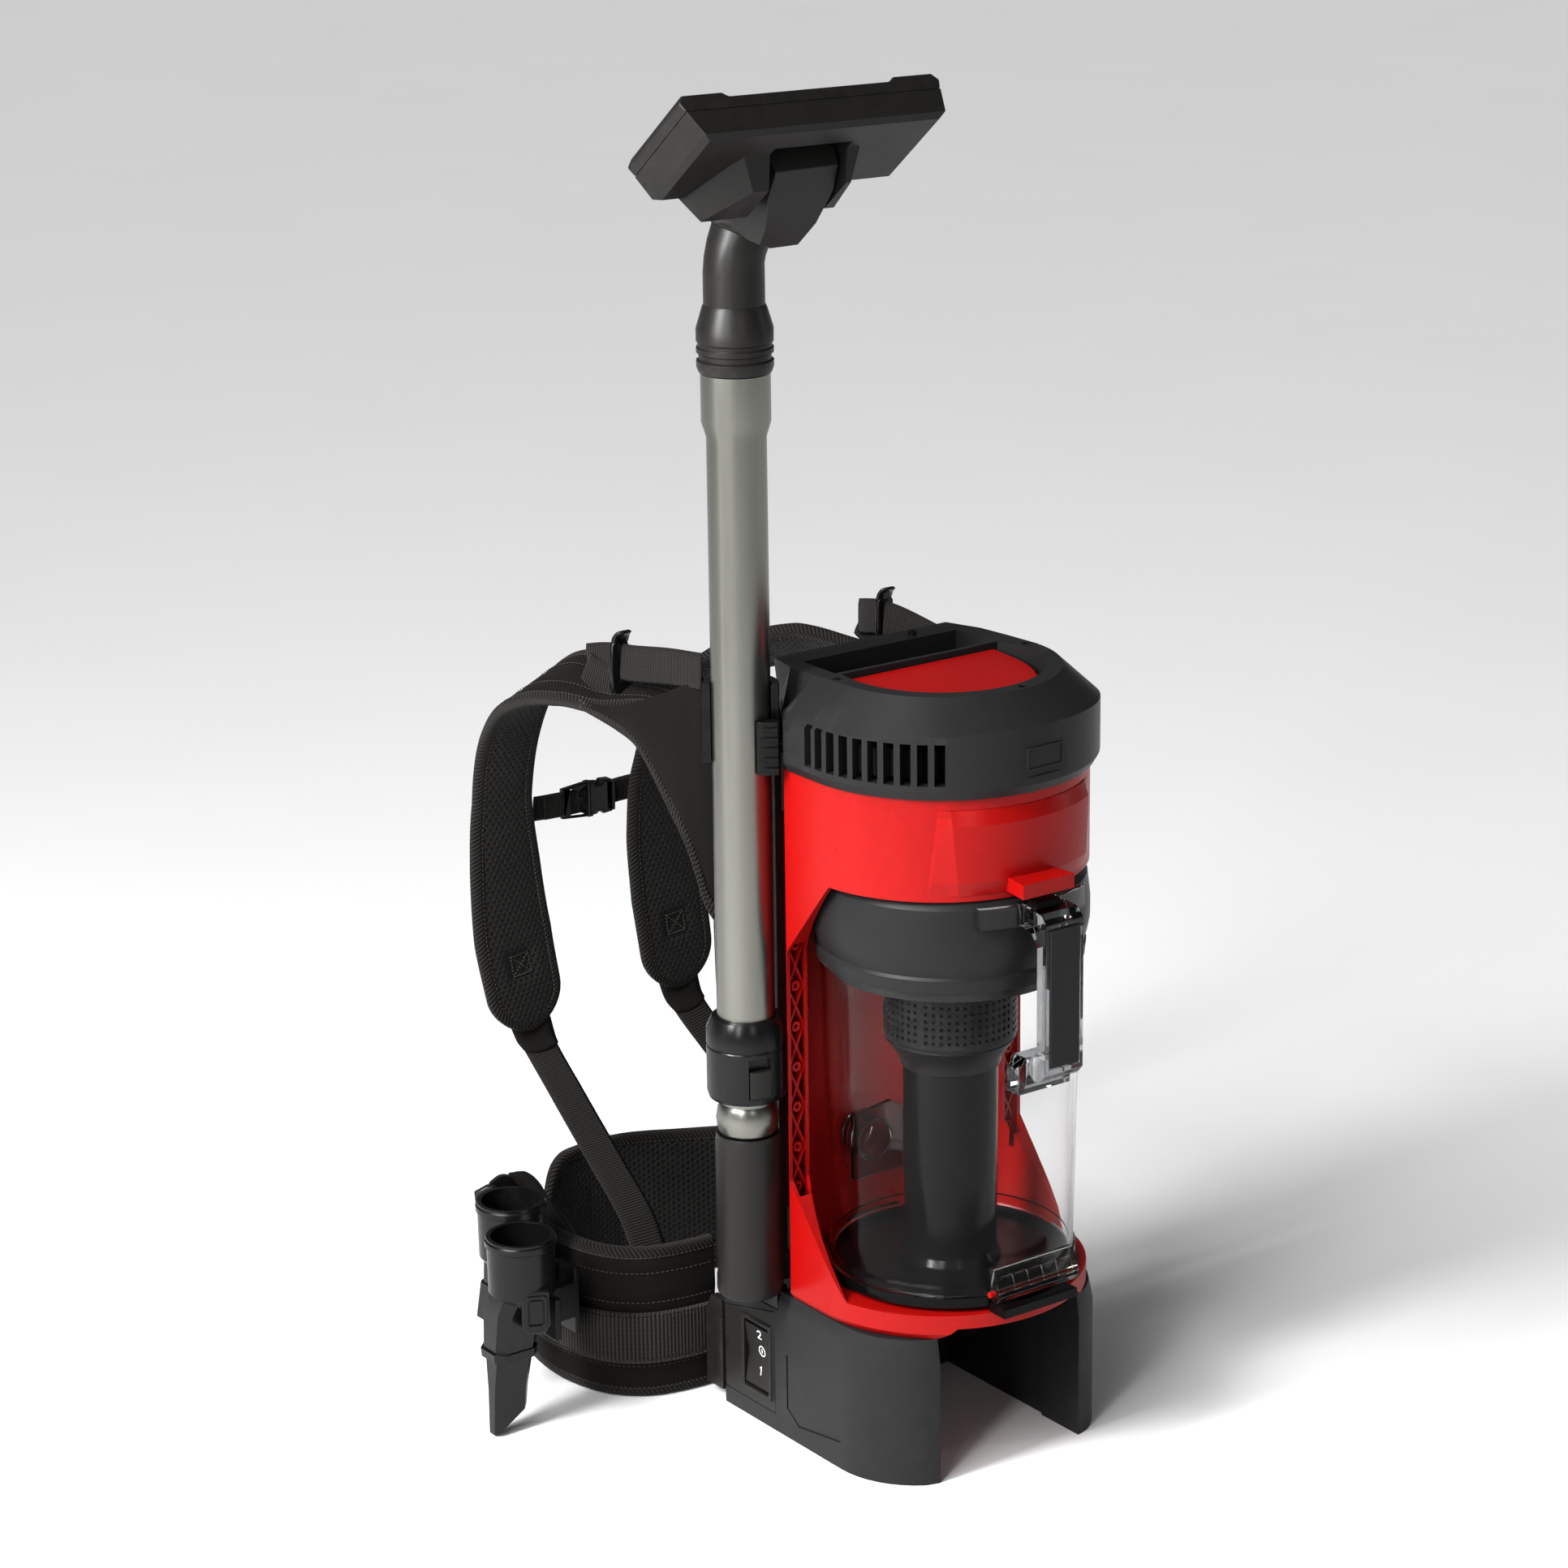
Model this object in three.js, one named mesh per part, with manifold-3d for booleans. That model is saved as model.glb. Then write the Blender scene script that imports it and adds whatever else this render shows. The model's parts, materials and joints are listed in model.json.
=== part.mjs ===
// Cordless backpack vacuum cleaner: motor head over a bagless canister in a red frame, a dark
// base with a battery bay, a telescoping wand with its floor tool, and a padded harness.
// Millimetres, +Z up, floor at Z = 0, canister to -Y, harness to +Y, wand to -X.

import * as THREE from 'three';
import { mergeVertices } from 'three/addons/utils/BufferGeometryUtils.js';
import Module from 'manifold-3d';

const wasm = await Module();
wasm.setup();

// ------------------------------------------------------------ driving dimensions
const GAP = 0.3;                 // clearance between touching pieces

const BASE_HALF = 97.5;          // half width of the base
const BASE_REAR = 117;
const BASE_TOP = 102;
const BAY_HALF = 58;             // half width of the battery bay
const BAY_TOP = 92;

const FRAME_HALF = 97;           // red frame: half width, and radius of its front
const FRAME_CY = 2;              // centre of the frame's round front
const FRAME_Z0 = 102.5;
const TRAY_TOP = 119.5;          // the canister stands on this
const BAND_Z0 = 402;             // underside of the band over the canister
const BAND_TOP = 469.5;

const CAN_Y = -9;                // canister axis
const BAY_R = 93.6;              // radius of the canister bay
const BIN_R_TOP = 85;
const BIN_R_LOW = 81;
const BIN_Z0 = 126;
const BIN_Z1 = 340;

const HOUSE_R = 102;             // motor head
const HOUSE_Z0 = 470;
const HOUSE_CREASE = 512;
const HOUSE_TOP = 531;

const WAND_X = -113;             // wand axis
const WAND_Y = 62;
const TUBE_R = 19;
const SOCKET_Z0 = 689;
const SOCKET_Z1 = 725;

const BELT_H = 110;              // waist belt

// ------------------------------------------------------------ materials
const paint = (color, roughness = 0.5, metalness = 0, opacity = 1) =>
  new THREE.MeshStandardMaterial({ color, roughness, metalness, opacity, transparent: opacity < 1 });
const RED = paint('#d8150f', 0.35);
const DARK = paint('#2b2b2d', 0.5);
const BLACK = paint('#161617', 0.5);
const SMOKE = paint('#5a6065', 0.15, 0, 0.45);
const CLEAR = paint('#dfe5e8', 0.05, 0, 0.25);
const METAL = paint('#7d7c75', 0.35, 1);
const FABRIC = paint('#1a1917', 0.95);
const WEBBING = paint('#24221f', 0.9);
const WHITE = paint('#e8e6e0', 0.8);
const STEEL = paint('#8a8c90', 0.3, 1);

// ------------------------------------------------------------ geometry helpers
const V = (x, y, z) => new THREE.Vector3(x, y, z);
const rad = THREE.MathUtils.degToRad;

// keeps positions only, merges shared corners, drops slivers and turns the faces outwards
function tidy(geometry) {
  let g = geometry.clone();
  g.deleteAttribute('normal');
  g.deleteAttribute('uv');
  g = mergeVertices(g, 1e-4);
  const p = g.attributes.position;
  const index = g.index.array;
  const faces = [];
  let volume = 0;
  const [a, b, c] = [V(), V(), V()];
  for (let i = 0; i < index.length; i += 3) {
    const [i0, i1, i2] = [index[i], index[i + 1], index[i + 2]];
    if (i0 === i1 || i1 === i2 || i0 === i2) continue;
    a.fromBufferAttribute(p, i0);
    b.fromBufferAttribute(p, i1);
    c.fromBufferAttribute(p, i2);
    volume += a.dot(b.clone().cross(c));
    faces.push(i0, i1, i2);
  }
  if (volume < 0) for (let i = 0; i < faces.length; i += 3) [faces[i], faces[i + 1]] = [faces[i + 1], faces[i]];
  g.setIndex(faces);
  return g;
}

function toSolid(geometry) {
  const g = tidy(geometry);
  const vertProperties = new Float32Array(g.attributes.position.array);
  return new wasm.Manifold(new wasm.Mesh({ numProp: 3, vertProperties,
    triVerts: new Uint32Array(g.index.array) }));
}

function fromSolid(solid) {
  const m = solid.getMesh();
  const g = new THREE.BufferGeometry();
  g.setAttribute('position', new THREE.BufferAttribute(new Float32Array(m.vertProperties), 3));
  g.setIndex(Array.from(m.triVerts));
  return g;
}

const join = (first, ...rest) => fromSolid(rest.reduce((s, g) => s.add(toSolid(g)), toSolid(first)));
const cut = (first, ...rest) => fromSolid(rest.reduce((s, g) => s.subtract(toSolid(g)), toSolid(first)));
const meet = (a, b) => fromSolid(toSolid(a).intersect(toSolid(b)));

function move(geometry, x = 0, y = 0, z = 0, rx = 0, ry = 0, rz = 0) {
  const g = geometry.clone();
  g.applyMatrix4(new THREE.Matrix4().makeRotationFromEuler(new THREE.Euler(rad(rx), rad(ry), rad(rz), 'ZYX')));
  g.translate(x, y, z);
  return g;
}

function block(x0, x1, y0, y1, z0, z1) {
  const g = new THREE.BoxGeometry(x1 - x0, y1 - y0, z1 - z0);
  g.translate((x0 + x1) / 2, (y0 + y1) / 2, (z0 + z1) / 2);
  return g;
}

function extrude(points, depth, holes = []) {
  const shape = new THREE.Shape(points.map(([x, y]) => new THREE.Vector2(x, y)));
  for (const hole of holes) shape.holes.push(new THREE.Path(hole.map(([x, y]) => new THREE.Vector2(x, y))));
  return new THREE.ExtrudeGeometry(shape, { depth, bevelEnabled: false, steps: 1 });
}

// outline in plan, raised from z0 to z1
function prism(points, z0, z1, holes = []) {
  const g = extrude(points, z1 - z0, holes);
  g.translate(0, 0, z0);
  return g;
}

// outline in (Y, Z), drawn out from x0 to x1
function prismX(points, x0, x1, holes = []) {
  const g = extrude(points, x1 - x0, holes);
  g.applyMatrix4(new THREE.Matrix4().makeBasis(V(0, 1, 0), V(0, 0, 1), V(1, 0, 0)));
  g.translate(x0, 0, 0);
  return g;
}

// outline in (X, Z), drawn out from y0 to y1
function prismY(points, y0, y1, holes = []) {
  const g = extrude(points, y1 - y0, holes);
  g.applyMatrix4(new THREE.Matrix4().makeBasis(V(1, 0, 0), V(0, 0, 1), V(0, -1, 0)));
  g.translate(0, y1, 0);
  return g;
}

// solid of revolution about Z from [radius, z] pairs; a profile off the axis closes on itself
function lathe(profile, segments = 48) {
  const points = profile.map(([r, z]) => new THREE.Vector2(r, z));
  if (profile[0][0] > 0) points.push(points[0].clone());
  const g = new THREE.LatheGeometry(points, segments);
  g.rotateX(Math.PI / 2);
  return g;
}

const disc = (r, z0, z1, segments = 32) => lathe([[0, z0], [r, z0], [r, z1], [0, z1]], segments);
const ring = (r0, r1, z0, z1, segments = 48) => lathe([[r0, z0], [r1, z0], [r1, z1], [r0, z1]], segments);

function arc(cx, cy, r, from, to, steps) {
  return Array.from({ length: steps + 1 }, (_, i) => {
    const t = rad(from + ((to - from) * i) / steps);
    return [cx + r * Math.cos(t), cy + r * Math.sin(t)];
  });
}

// skin through equal rings of corners, closed by a fan at each end
function loft(rings) {
  const n = rings[0].length;
  const position = [];
  const index = [];
  for (const r of rings) for (const p of r) position.push(p.x, p.y, p.z);
  for (let k = 0; k + 1 < rings.length; k++) {
    for (let i = 0; i < n; i++) {
      const [a, b] = [k * n + i, k * n + ((i + 1) % n)];
      index.push(a, b, b + n, a, b + n, a + n);
    }
  }
  for (const k of [0, rings.length - 1]) {
    const c = rings[k].reduce((s, p) => s.add(p), V(0, 0, 0)).divideScalar(n);
    const centre = position.length / 3;
    position.push(c.x, c.y, c.z);
    for (let i = 0; i < n; i++) {
      const [a, b] = [k * n + i, k * n + ((i + 1) % n)];
      index.push(...(k === 0 ? [centre, b, a] : [centre, a, b]));
    }
  }
  const g = new THREE.BufferGeometry();
  g.setAttribute('position', new THREE.Float32BufferAttribute(position, 3));
  g.setIndex(index);
  return tidy(g);
}

const loftPlans = (plans) => loft(plans.map(([points, z]) => points.map(([x, y]) => V(x, y, z))));

// flat band along a smooth path: stations give the centre, the direction across and the half sizes
function band(stations, steps, corner = 0.5, offset = 0) {
  const path = new THREE.CatmullRomCurve3(stations.map((s) => s.at), false, 'centripetal');
  const rings = [];
  for (let k = 0; k <= steps; k++) {
    const u = k / steps;
    const s = u * (stations.length - 1);
    const i = Math.min(Math.floor(s), stations.length - 2);
    const f = s - i;
    const [a, b] = [stations[i], stations[i + 1]];
    const across = a.across.clone().lerp(b.across, f);
    const half = THREE.MathUtils.lerp(a.half, b.half, f);
    const thick = THREE.MathUtils.lerp(a.thick, b.thick, f);
    const along = path.getTangent(u);
    const normal = along.clone().cross(across).normalize();
    const centre = path.getPoint(u).addScaledVector(normal, offset);
    const wide = normal.clone().cross(along).normalize();
    const ch = Math.min(thick * corner, half * 0.5);
    const section = [
      [-half, -thick + ch], [-half + ch, -thick], [half - ch, -thick], [half, -thick + ch],
      [half, thick - ch], [half - ch, thick], [-half + ch, thick], [-half, thick - ch],
    ];
    rings.push(section.map(([w, t]) => centre.clone().addScaledVector(wide, w).addScaledVector(normal, t)));
  }
  return loft(rings);
}

const station = (x, y, z, across, half, thick) => ({ at: V(x, y, z), across, half, thick });

function piece(parent, name, geometry, material, x = 0, y = 0, z = 0) {
  const m = new THREE.Mesh(tidy(geometry), material);
  m.name = name;
  m.position.set(x, y, z);
  parent.add(m);
  return m;
}

// ------------------------------------------------------------ base with the battery bay
function baseOutline(inset = 0) {
  const half = BASE_HALF - inset;
  const r = 63 - inset;
  const left = arc(-BASE_HALF + 63, -17, r, 180, 238, 8);
  const right = left.map(([x, y]) => [-x, y]).reverse();
  const toe = -73 + inset;
  return [
    [-half + 1.5, BASE_REAR - inset], [-half, BASE_REAR - 1.5 - inset], ...left, [-BAY_HALF - 1.5, toe],
    [BAY_HALF + 1.5, toe], ...right, [half, BASE_REAR - 1.5 - inset], [half - 1.5, BASE_REAR - inset],
  ];
}

function baseSkirt() {
  const plan = baseOutline();
  const level = (z) => plan.map(([x, y]) => V(x, y, z));
  const shoulder = plan.map(([x, y]) => V(x, y, 93 + Math.min(0, (y + 10) * 0.14)));
  const top = baseOutline(3).map(([x, y]) => V(x, y, BASE_TOP));
  const body = loft([level(0), shoulder, top]);
  // two millimetres wider behind the mouth
  const wide = BAY_HALF + 2;
  const bay = [[-BAY_HALF, -120], [BAY_HALF, -120], [BAY_HALF, -34], [wide, -34], [wide, 72], [-wide, 72],
    [-wide, -34], [-BAY_HALF, -34]];
  const bayFront = [[-BAY_HALF, -120], [BAY_HALF, -120], [BAY_HALF, -34], [-BAY_HALF, -34]];
  const rearSlope = prismX([[54, 104], [54, 102.1], [60, 93], [118, 75], [118, 104]], -100, 100);
  const hollow = [[-93.5, 112], [-93.5, -16], [-88, -40], [-76, -46], [-64, -40], [-64, 76], [-30, 76],
    [-30, 112]];
  const pockets = [hollow, hollow.map(([x, y]) => [-x, y]).reverse()].map((p) => prism(p, -1, 70));
  const switchSeat = prismX([[57, 12], [115.5, 12], [115.5, 73], [57, 87]], -99, -94);
  const switchWell = block(-94.5, -80, 61, 93, 21, 73);
  const heelSeat = block(-99, -88, 53, 75, 89, 104);
  // fine line round the raised flat of each flank
  const groove = [[44, 60], [44, 21], [31, 12], [-16, 18.6], [-16, 20.4], [30.4, 13.8], [42.2, 22], [42.2, 60]];
  const grooves = [prismX(groove, -99, -96.6), prismX(groove, 96.6, 99)];
  return cut(body, prism(bay, -1, BAY_TOP), prism(bayFront, -1, 104), rearSlope, ...pockets,
    switchSeat, switchWell, heelSeat, ...grooves);
}

function switchPanel() {
  const g = GAP;
  const hole = [[63, 23.2], [91, 23.2], [91, 71.2], [63, 71.2]];
  const plate = prismX([[57 + g, 12 + g], [115.5 - g, 12 + g], [115.5 - g, 73 - g], [57 + g, 87 - g]], -97.6,
    -94 - g, [hole]);
  const bezel = prismX([[60, 20], [94, 20], [94, 74.4], [60, 74.4]], -99.4, -97.2, [hole]);
  return join(plate, bezel);
}

// rocker about its own pivot: local Y along the pivot, -X outwards
function powerRocker() {
  return prismY([[6, -15], [-6.6, -22], [-3.6, 0], [-6.6, 22], [6, 15]], -13.4, 13.4);
}

function terminalBlock() {
  const rail = (s) => block(s > 0 ? 26 : -32, s > 0 ? 32 : -26, -30, 60, 84, BAY_TOP - GAP);
  const body = block(-32, 32, 30, 71.5, 74, BAY_TOP - GAP);
  const blades = [-18, -6, 6, 18].map((x) => block(x - 1, x + 1, 12, 32, 78, 86));
  return join(body, rail(1), rail(-1), ...blades);
}

// ------------------------------------------------------------ red frame
function frameOutline(half = FRAME_HALF) {
  const d = FRAME_HALF - half;
  return [
    [-55 + d, 88 - d], [-80.5 + d, 60], [-half, 38.5],
    ...arc(0, FRAME_CY, half, 180, 360, 32),
    [half, 38.5], [80.5 - d, 60], [55 - d, 88 - d],
  ];
}

function redFrame() {
  const outer = loftPlans([[frameOutline(94.2), FRAME_Z0], [frameOutline(), FRAME_Z0 + 4],
    [frameOutline(), BAND_TOP]]);
  const bay = prism([[-BAY_R, -150], [BAY_R, -150], ...arc(0, CAN_Y, BAY_R, 0, 180, 32)], TRAY_TOP, BAND_Z0);
  const open = prismX([[-150, TRAY_TOP], [-20, TRAY_TOP], [-15, 125], [38, 187], [38, 346], [-8, BAND_Z0],
    [-150, BAND_Z0]], -120, 120);
  const motorRoom = move(disc(91, BAND_Z0 + 8, BAND_TOP + 1, 48), 0, FRAME_CY, 0);
  const suctionHole = move(disc(30, BAND_Z0 - 1, BAND_Z0 + 9, 24), 0, CAN_Y, 0);
  const batteryLip = prismY([[-66, 100], [-58, 103], [-50, 110], [50, 110], [58, 103], [66, 100]], -120, -36);
  const channelPlan = [[-94.4, 30], [-94.4, 39.2], [-87, 48], [-79.8, 48], [-83.5, 38], [-83.5, 30]];
  const mirror = (plan) => plan.map(([x, y]) => [-x, y]).reverse();
  const channels = [channelPlan, mirror(channelPlan)].map((p) => prism(p, 168, 352));
  const recess = meet(ring(95.6, 99, 411, 459, 72), prism([[0, 0], [-88, -120], [88, -120]], 400, 480));
  const body = cut(outer, bay, open, motorRoom, suctionHole, batteryLip, ...channels, move(recess, 0,
    FRAME_CY, 0));
  const ribs = [];
  const bars = (s, z, turn) => move(block(-0.8, 0.8, 0, 8, -17, 17), s * 88.4, 40.5, z, 0, turn, 0);
  for (const s of [-1, 1]) {
    for (let i = 0; i < 7; i++) {
      const z = 180 + i * 28;
      if (i < 6) ribs.push(bars(s, z + 14, 24), bars(s, z + 14, -24));
      ribs.push(move(ring(1.6, 3.6, 0, 8.5, 8), s * 88.4, 49, z, 90));
    }
  }
  const rib = meet(ribs.reduce((a, b) => join(a, b)), join(prism([[-95.5, 40.5], [-86.5, 49.5], [-79, 49],
    [-82.4, 40.5]], 166, 354),
    prism([[95.5, 40.5], [82.4, 40.5], [79, 49], [86.5, 49.5]], 166, 354)));
  const ledge = prism([[-20, -88], [-24, -115], [17, -115], [14, -88]], 407, 416.5);
  return join(body, rib, ledge);
}

// ------------------------------------------------------------ motor head
function houseOutline(half, sideY, chamfer, rear) {
  const [cx, cyy] = chamfer;
  const [rx, ry] = rear;
  return [[-rx, ry], [-cx, cyy], [-half, sideY], ...arc(0, 0, half, 180, 360, 36), [half, sideY], [cx, cyy],
    [rx, ry]];
}

function motorHousing() {
  const outer = loft([
    [houseOutline(98.5, 33, [82, 57], [56, 90]), () => HOUSE_Z0],
    [houseOutline(HOUSE_R, 32, [84, 58], [62, 92]), () => HOUSE_Z0 + 6],
    [houseOutline(HOUSE_R, 32, [84, 58], [62, 92]), (y) => HOUSE_CREASE - 0.085 * (y + 80)],
    [houseOutline(78, 32, [77, 58], [70, 86]), (y) => HOUSE_TOP - 0.035 * Math.max(0, y)],
  ].map(([plan, level]) => plan.map(([x, y]) => V(x, y, level(y)))));
  const under = disc(93, HOUSE_Z0 - 1, 478, 48);
  const front = meet(disc(94, 477, 504, 48), block(-100, 100, -100, 18, 400, 600));
  const coverHole = prism([[-63, 22], ...arc(0, 0, 67, 180, 360, 28), [63, 22]], 500, HOUSE_TOP + 1);
  const well = join(prism([[-65, 26], [65, 26], [62, 65], [-62, 65]], 484, HOUSE_TOP + 1),
    block(-54, 54, 50, 100, 484, 511));
  const slot = block(-3.4, 3.4, -14, 14, 480, 507);
  const slots = [];
  for (let i = 0; i < 10; i++) slots.push(move(slot, ...polar(HOUSE_R - 2, 177 + i * 6.1), 0, 0, 0,
    267 + i * 6.1));
  for (let i = 0; i < 8; i++) slots.push(move(slot, ...polar(HOUSE_R - 2, 330 + i * 6.1), 0, 0, 0,
    60 + i * 6.1));
  const label = move(block(-16, 16, -3, 1.2, 481, 503), ...polar(HOUSE_R, 272), 0, 0, 0, 2);
  const screwSeats = SCREWS.map(([x, y]) => move(disc(3, 528, HOUSE_TOP + 1, 10), x, y, -0.035 * Math.max(0,
    y)));
  return cut(outer, under, front, coverHole, well, ...slots, label, ...screwSeats);
}

const polar = (r, deg) => [r * Math.cos(rad(deg)), r * Math.sin(rad(deg))];
const SCREWS = [[-73, 13], [73, 5], [8, -73], [34, 75]];

function motorCover() {
  const plan = (r, rear) => [[-Math.min(r, 62), rear], ...arc(0, 0, r, 180, 360, 28), [Math.min(r, 62), rear]];
  const plate = loftPlans([[plan(66, 21), 504.5], [plan(66, 21), 516], [plan(58, 20), 527]]);
  const fall = prismX([[24, 530], [24, 526.5], [-70, 519], [-70, 530]], -80, 80);
  return cut(plate, fall);
}

function suctionMotor() {
  return lathe([[0, 428.5], [34, 428.5], [46, 432], [46, 462], [40, 468], [18, 470], [18, 477], [0, 477]], 32);
}

function fanImpeller() {
  const hub = disc(12, 413, 426, 16);
  const plate = disc(40, 424, 426, 32);
  const blades = Array.from({ length: 7 }, (_, i) => move(block(10, 39, -1, 1, 414, 425), 0, 0, 0, 0, 0,
    i * 360 / 7));
  return join(hub, plate, ...blades);
}

function exhaustFilter() {
  const teeth = [];
  for (let i = 0; i <= 36; i++) teeth.push(polar(i % 2 ? 89 : 84, 180 + i * 5));
  for (let i = 36; i >= 0; i--) teeth.push(polar(i % 2 ? 82 : 77, 180 + i * 5));
  return prism(teeth, 480, 498);
}

// ------------------------------------------------------------ canister (local origin on its axis)
function bin() {
  const wall = lathe([[BIN_R_LOW - 2.4, BIN_Z0 + 4], [BIN_R_LOW + 2, BIN_Z0 + 4], [BIN_R_LOW + 2, BIN_Z0 + 10],
    [BIN_R_LOW + 0.2, BIN_Z0 + 12], [BIN_R_TOP, BIN_Z1 - 6], [BIN_R_TOP, BIN_Z1],
    [BIN_R_TOP - 2.4, BIN_Z1]], 48);
  // inlet hole on the rear flank
  return cut(wall, move(disc(17, -30, 30, 20), -14, BIN_R_TOP - 3, 190, 90));
}

function canisterLid() {
  return lathe([[BIN_R_TOP - 6, 332], [BIN_R_TOP - 3, BIN_Z1 + GAP], [BIN_R_TOP + 2.5, BIN_Z1 + GAP],
    [BIN_R_TOP + 3.5, 349], [BIN_R_TOP + 2, 351], [89, 357], [90.8, 366], [90.8, 378], [88.8, 396], [85, 401],
    [32, 401], [32, 394], [80, 392], [80, 352], [78, 332]], 48);
}

function shroud() {
  return lathe([[44, 284], [44, 331.5], [60, 331.5], [60, 335], [41.5, 335], [41.5, 286], [31, 271],
    [31, 263.4], [33.5, 263.4], [33.5, 269]], 40);
}

function intakeTube() {
  return lathe([[31.5, 263], [31.5, 262.6], [30.5, 150], [30.5, 133], [33.5, 128], [33.5, 126.5], [28, 126.5],
    [28, 150], [29, 263]], 32);
}

function bottomDoor() {
  const plate = lathe([[0, 120], [80, 120], [83.5, 123], [83.5, BIN_Z0 + 3.4], [BIN_R_LOW - 3, BIN_Z0 + 3.4],
    [BIN_R_LOW - 3, BIN_Z0 - 1], [38, BIN_Z0 - 1], [35, BIN_Z0], [0, BIN_Z0]], 48);
  const hinge = block(-22, 22, 80, 90.4, 120.5, 128);
  const catcher = block(-30, 30, -96, -80, 120, 126);
  return join(plate, hinge, catcher);
}

function canisterHandle() {
  // side view in (Y, Z): arm from the lid, upright grip, claw back to the bin
  const side = [[-92, 399], [-121, 397], [-127, 391], [-127, 291], [-122, 285.5], [-96, 274], [-90, 280],
    [-90, 294], [-110, 297], [-117.5, 304], [-117.5, 374], [-112, 382], [-94, 386]]
    .map(([y, z]) => [y - CAN_Y, z]);
  const blade = prismX(side, -15, 15);
  const arm = meet(ring(92.5, 96.5, 385, 399, 48), prismX([[-130, 370], [-35, 370], [-35, 400], [-130, 400]],
    -43, 43));
  const claw = prismY([[-21, 273], [21, 273], [21, 290], [15, 297], [-15, 297], [-21, 290]], -98, -86);
  const body = join(blade, arm, claw);
  const binCut = lathe([[0, 100], [BIN_R_LOW + 0.6, 138], [BIN_R_TOP + 0.6, BIN_Z1], [BIN_R_TOP + 4, 350],
    [0, 352]], 48);
  const lidCut = lathe([[0, 340], [92.2, 362], [92.2, 380], [90, 397], [86, 402], [0, 403]], 48);
  const insertCut = block(-12.4, 12.4, -130 - CAN_Y, -124 - CAN_Y, 294, 388);
  const buttonCut = block(-12.4, 12.4, -112.4 - CAN_Y, -99 - CAN_Y, 386.8, 402);
  return cut(body, binCut, lidCut, insertCut, buttonCut);
}

function handleInsert() {
  return prismX([[-127.6, 295], [-124.3, 294.4], [-124.3, 387.6], [-127.6, 387]].map(([y, z]) => [y - CAN_Y,
    z]), -12, 12);
}

// about its own seat: slides down
function releaseButton() {
  const foot = [[-12, -5.4], [12, -5.4], [12, 5.2], [-12, 5.2]];
  return loftPlans([[foot, 0], [foot, 6], [[[-9, -3.6], [9, -3.6], [9, 5.2], [-9, 5.2]], 11]]);
}

function inletPort() {
  const collar = move(disc(15, 0, 22, 20), -14, 64, 190, -90);
  const plate = prismY([[-34, 166], [8, 166], [8, 210], [-2, 216], [-34, 212]], 62, 66);
  return cut(join(collar, plate), move(disc(12, -30, 30, 20), -14, 75, 190, 90));
}

// latch about its own pin: +X along the pin, lever up and back to the bin
function doorLatch() {
  const lever = prismX([[2.4, -5.5], [-3, -6], [-7, -1], [0, 16], [4.4, 16], [3.6, 4]], -33, 33);
  const windows = [-24, -12, 0, 12, 24].map((x) => prismX([[-9, 3], [-5.4, 1], [-1.4, 10.6], [-4.6, 13]],
    x - 4.6, x + 4.6));
  return cut(lever, ...windows, move(disc(2.3, -40, 40, 12), 0, 0, 0, 0, 90));
}

const latchPin = () => move(disc(2, -36.5, 36.5, 12), 0, 0, 0, 0, 90);

// ------------------------------------------------------------ wand (local origin on its axis)
function innerTube() {
  return lathe([[15, 152], [17.4, 152], [17.4, 218], [19.5, 221], [20.8, 229], [19.5, 237], [17.4, 240],
    [17.4, 600], [15, 600]], 32);
}

function tubeCuff() {
  return lathe([[17.7, 108], [19, 105.5], [21.2, 105.5], [22, 108], [22, 118], [21.5, 119], [21.5, 214],
    [20.5, 219], [17.7, 217]], 32);
}

const outerTube = () => lathe([[17.8, 270], [TUBE_R, 270], [TUBE_R, SOCKET_Z0 - 5], [22, SOCKET_Z0 + 5], [22,
  SOCKET_Z1], [20.2, SOCKET_Z1], [20.2, SOCKET_Z0 + 6], [17.8, SOCKET_Z0 - 3]], 32);

function lockCollar() {
  const body = lathe([[18.2, 245], [25, 245], [26.2, 249], [26.2, 280], [25.6, 281], [26.2, 282], [26.2, 292],
    [22.5, 300], [TUBE_R + GAP, 300], [TUBE_R + GAP, 269], [18.2, 269]], 32);
  return cut(body, move(block(-7.5, 7.5, -30, -21.6, 250, 277), 0, 0, 0, 0, 0, -15));
}

const collarSlider = () => move(meet(ring(23.2, 27.4, 250.5, 269, 64), block(-7, 7, -40, 0, 240, 290)),
  0, 0, 0, 0, 0, -15);

// ------------------------------------------------------------ floor tool
const rect = (x0, x1, y0, y1) => [[x0, y0], [x1, y0], [x1, y1], [x0, y1]];
// seam between elbow and yoke: centre and normal, from the wand's axis
const SEAM_AT = V(4.5, -1.5, 811);
const SEAM_N = V(0.374, -0.116, 0.92).normalize();
const SEAM_U = V(1, 0, 0).addScaledVector(SEAM_N, -SEAM_N.x).normalize();
const SEAM_V = SEAM_N.clone().cross(SEAM_U);
const onSeam = (a, b, lift) => SEAM_AT.clone().addScaledVector(SEAM_U, a).addScaledVector(SEAM_V,
  b).addScaledVector(SEAM_N, lift);
const slab = (from, to) => loft([from, to].map((lift) => rect(-70, 70, -70, 70).map(([a, b]) => onSeam(a, b,
  lift))));

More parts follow.
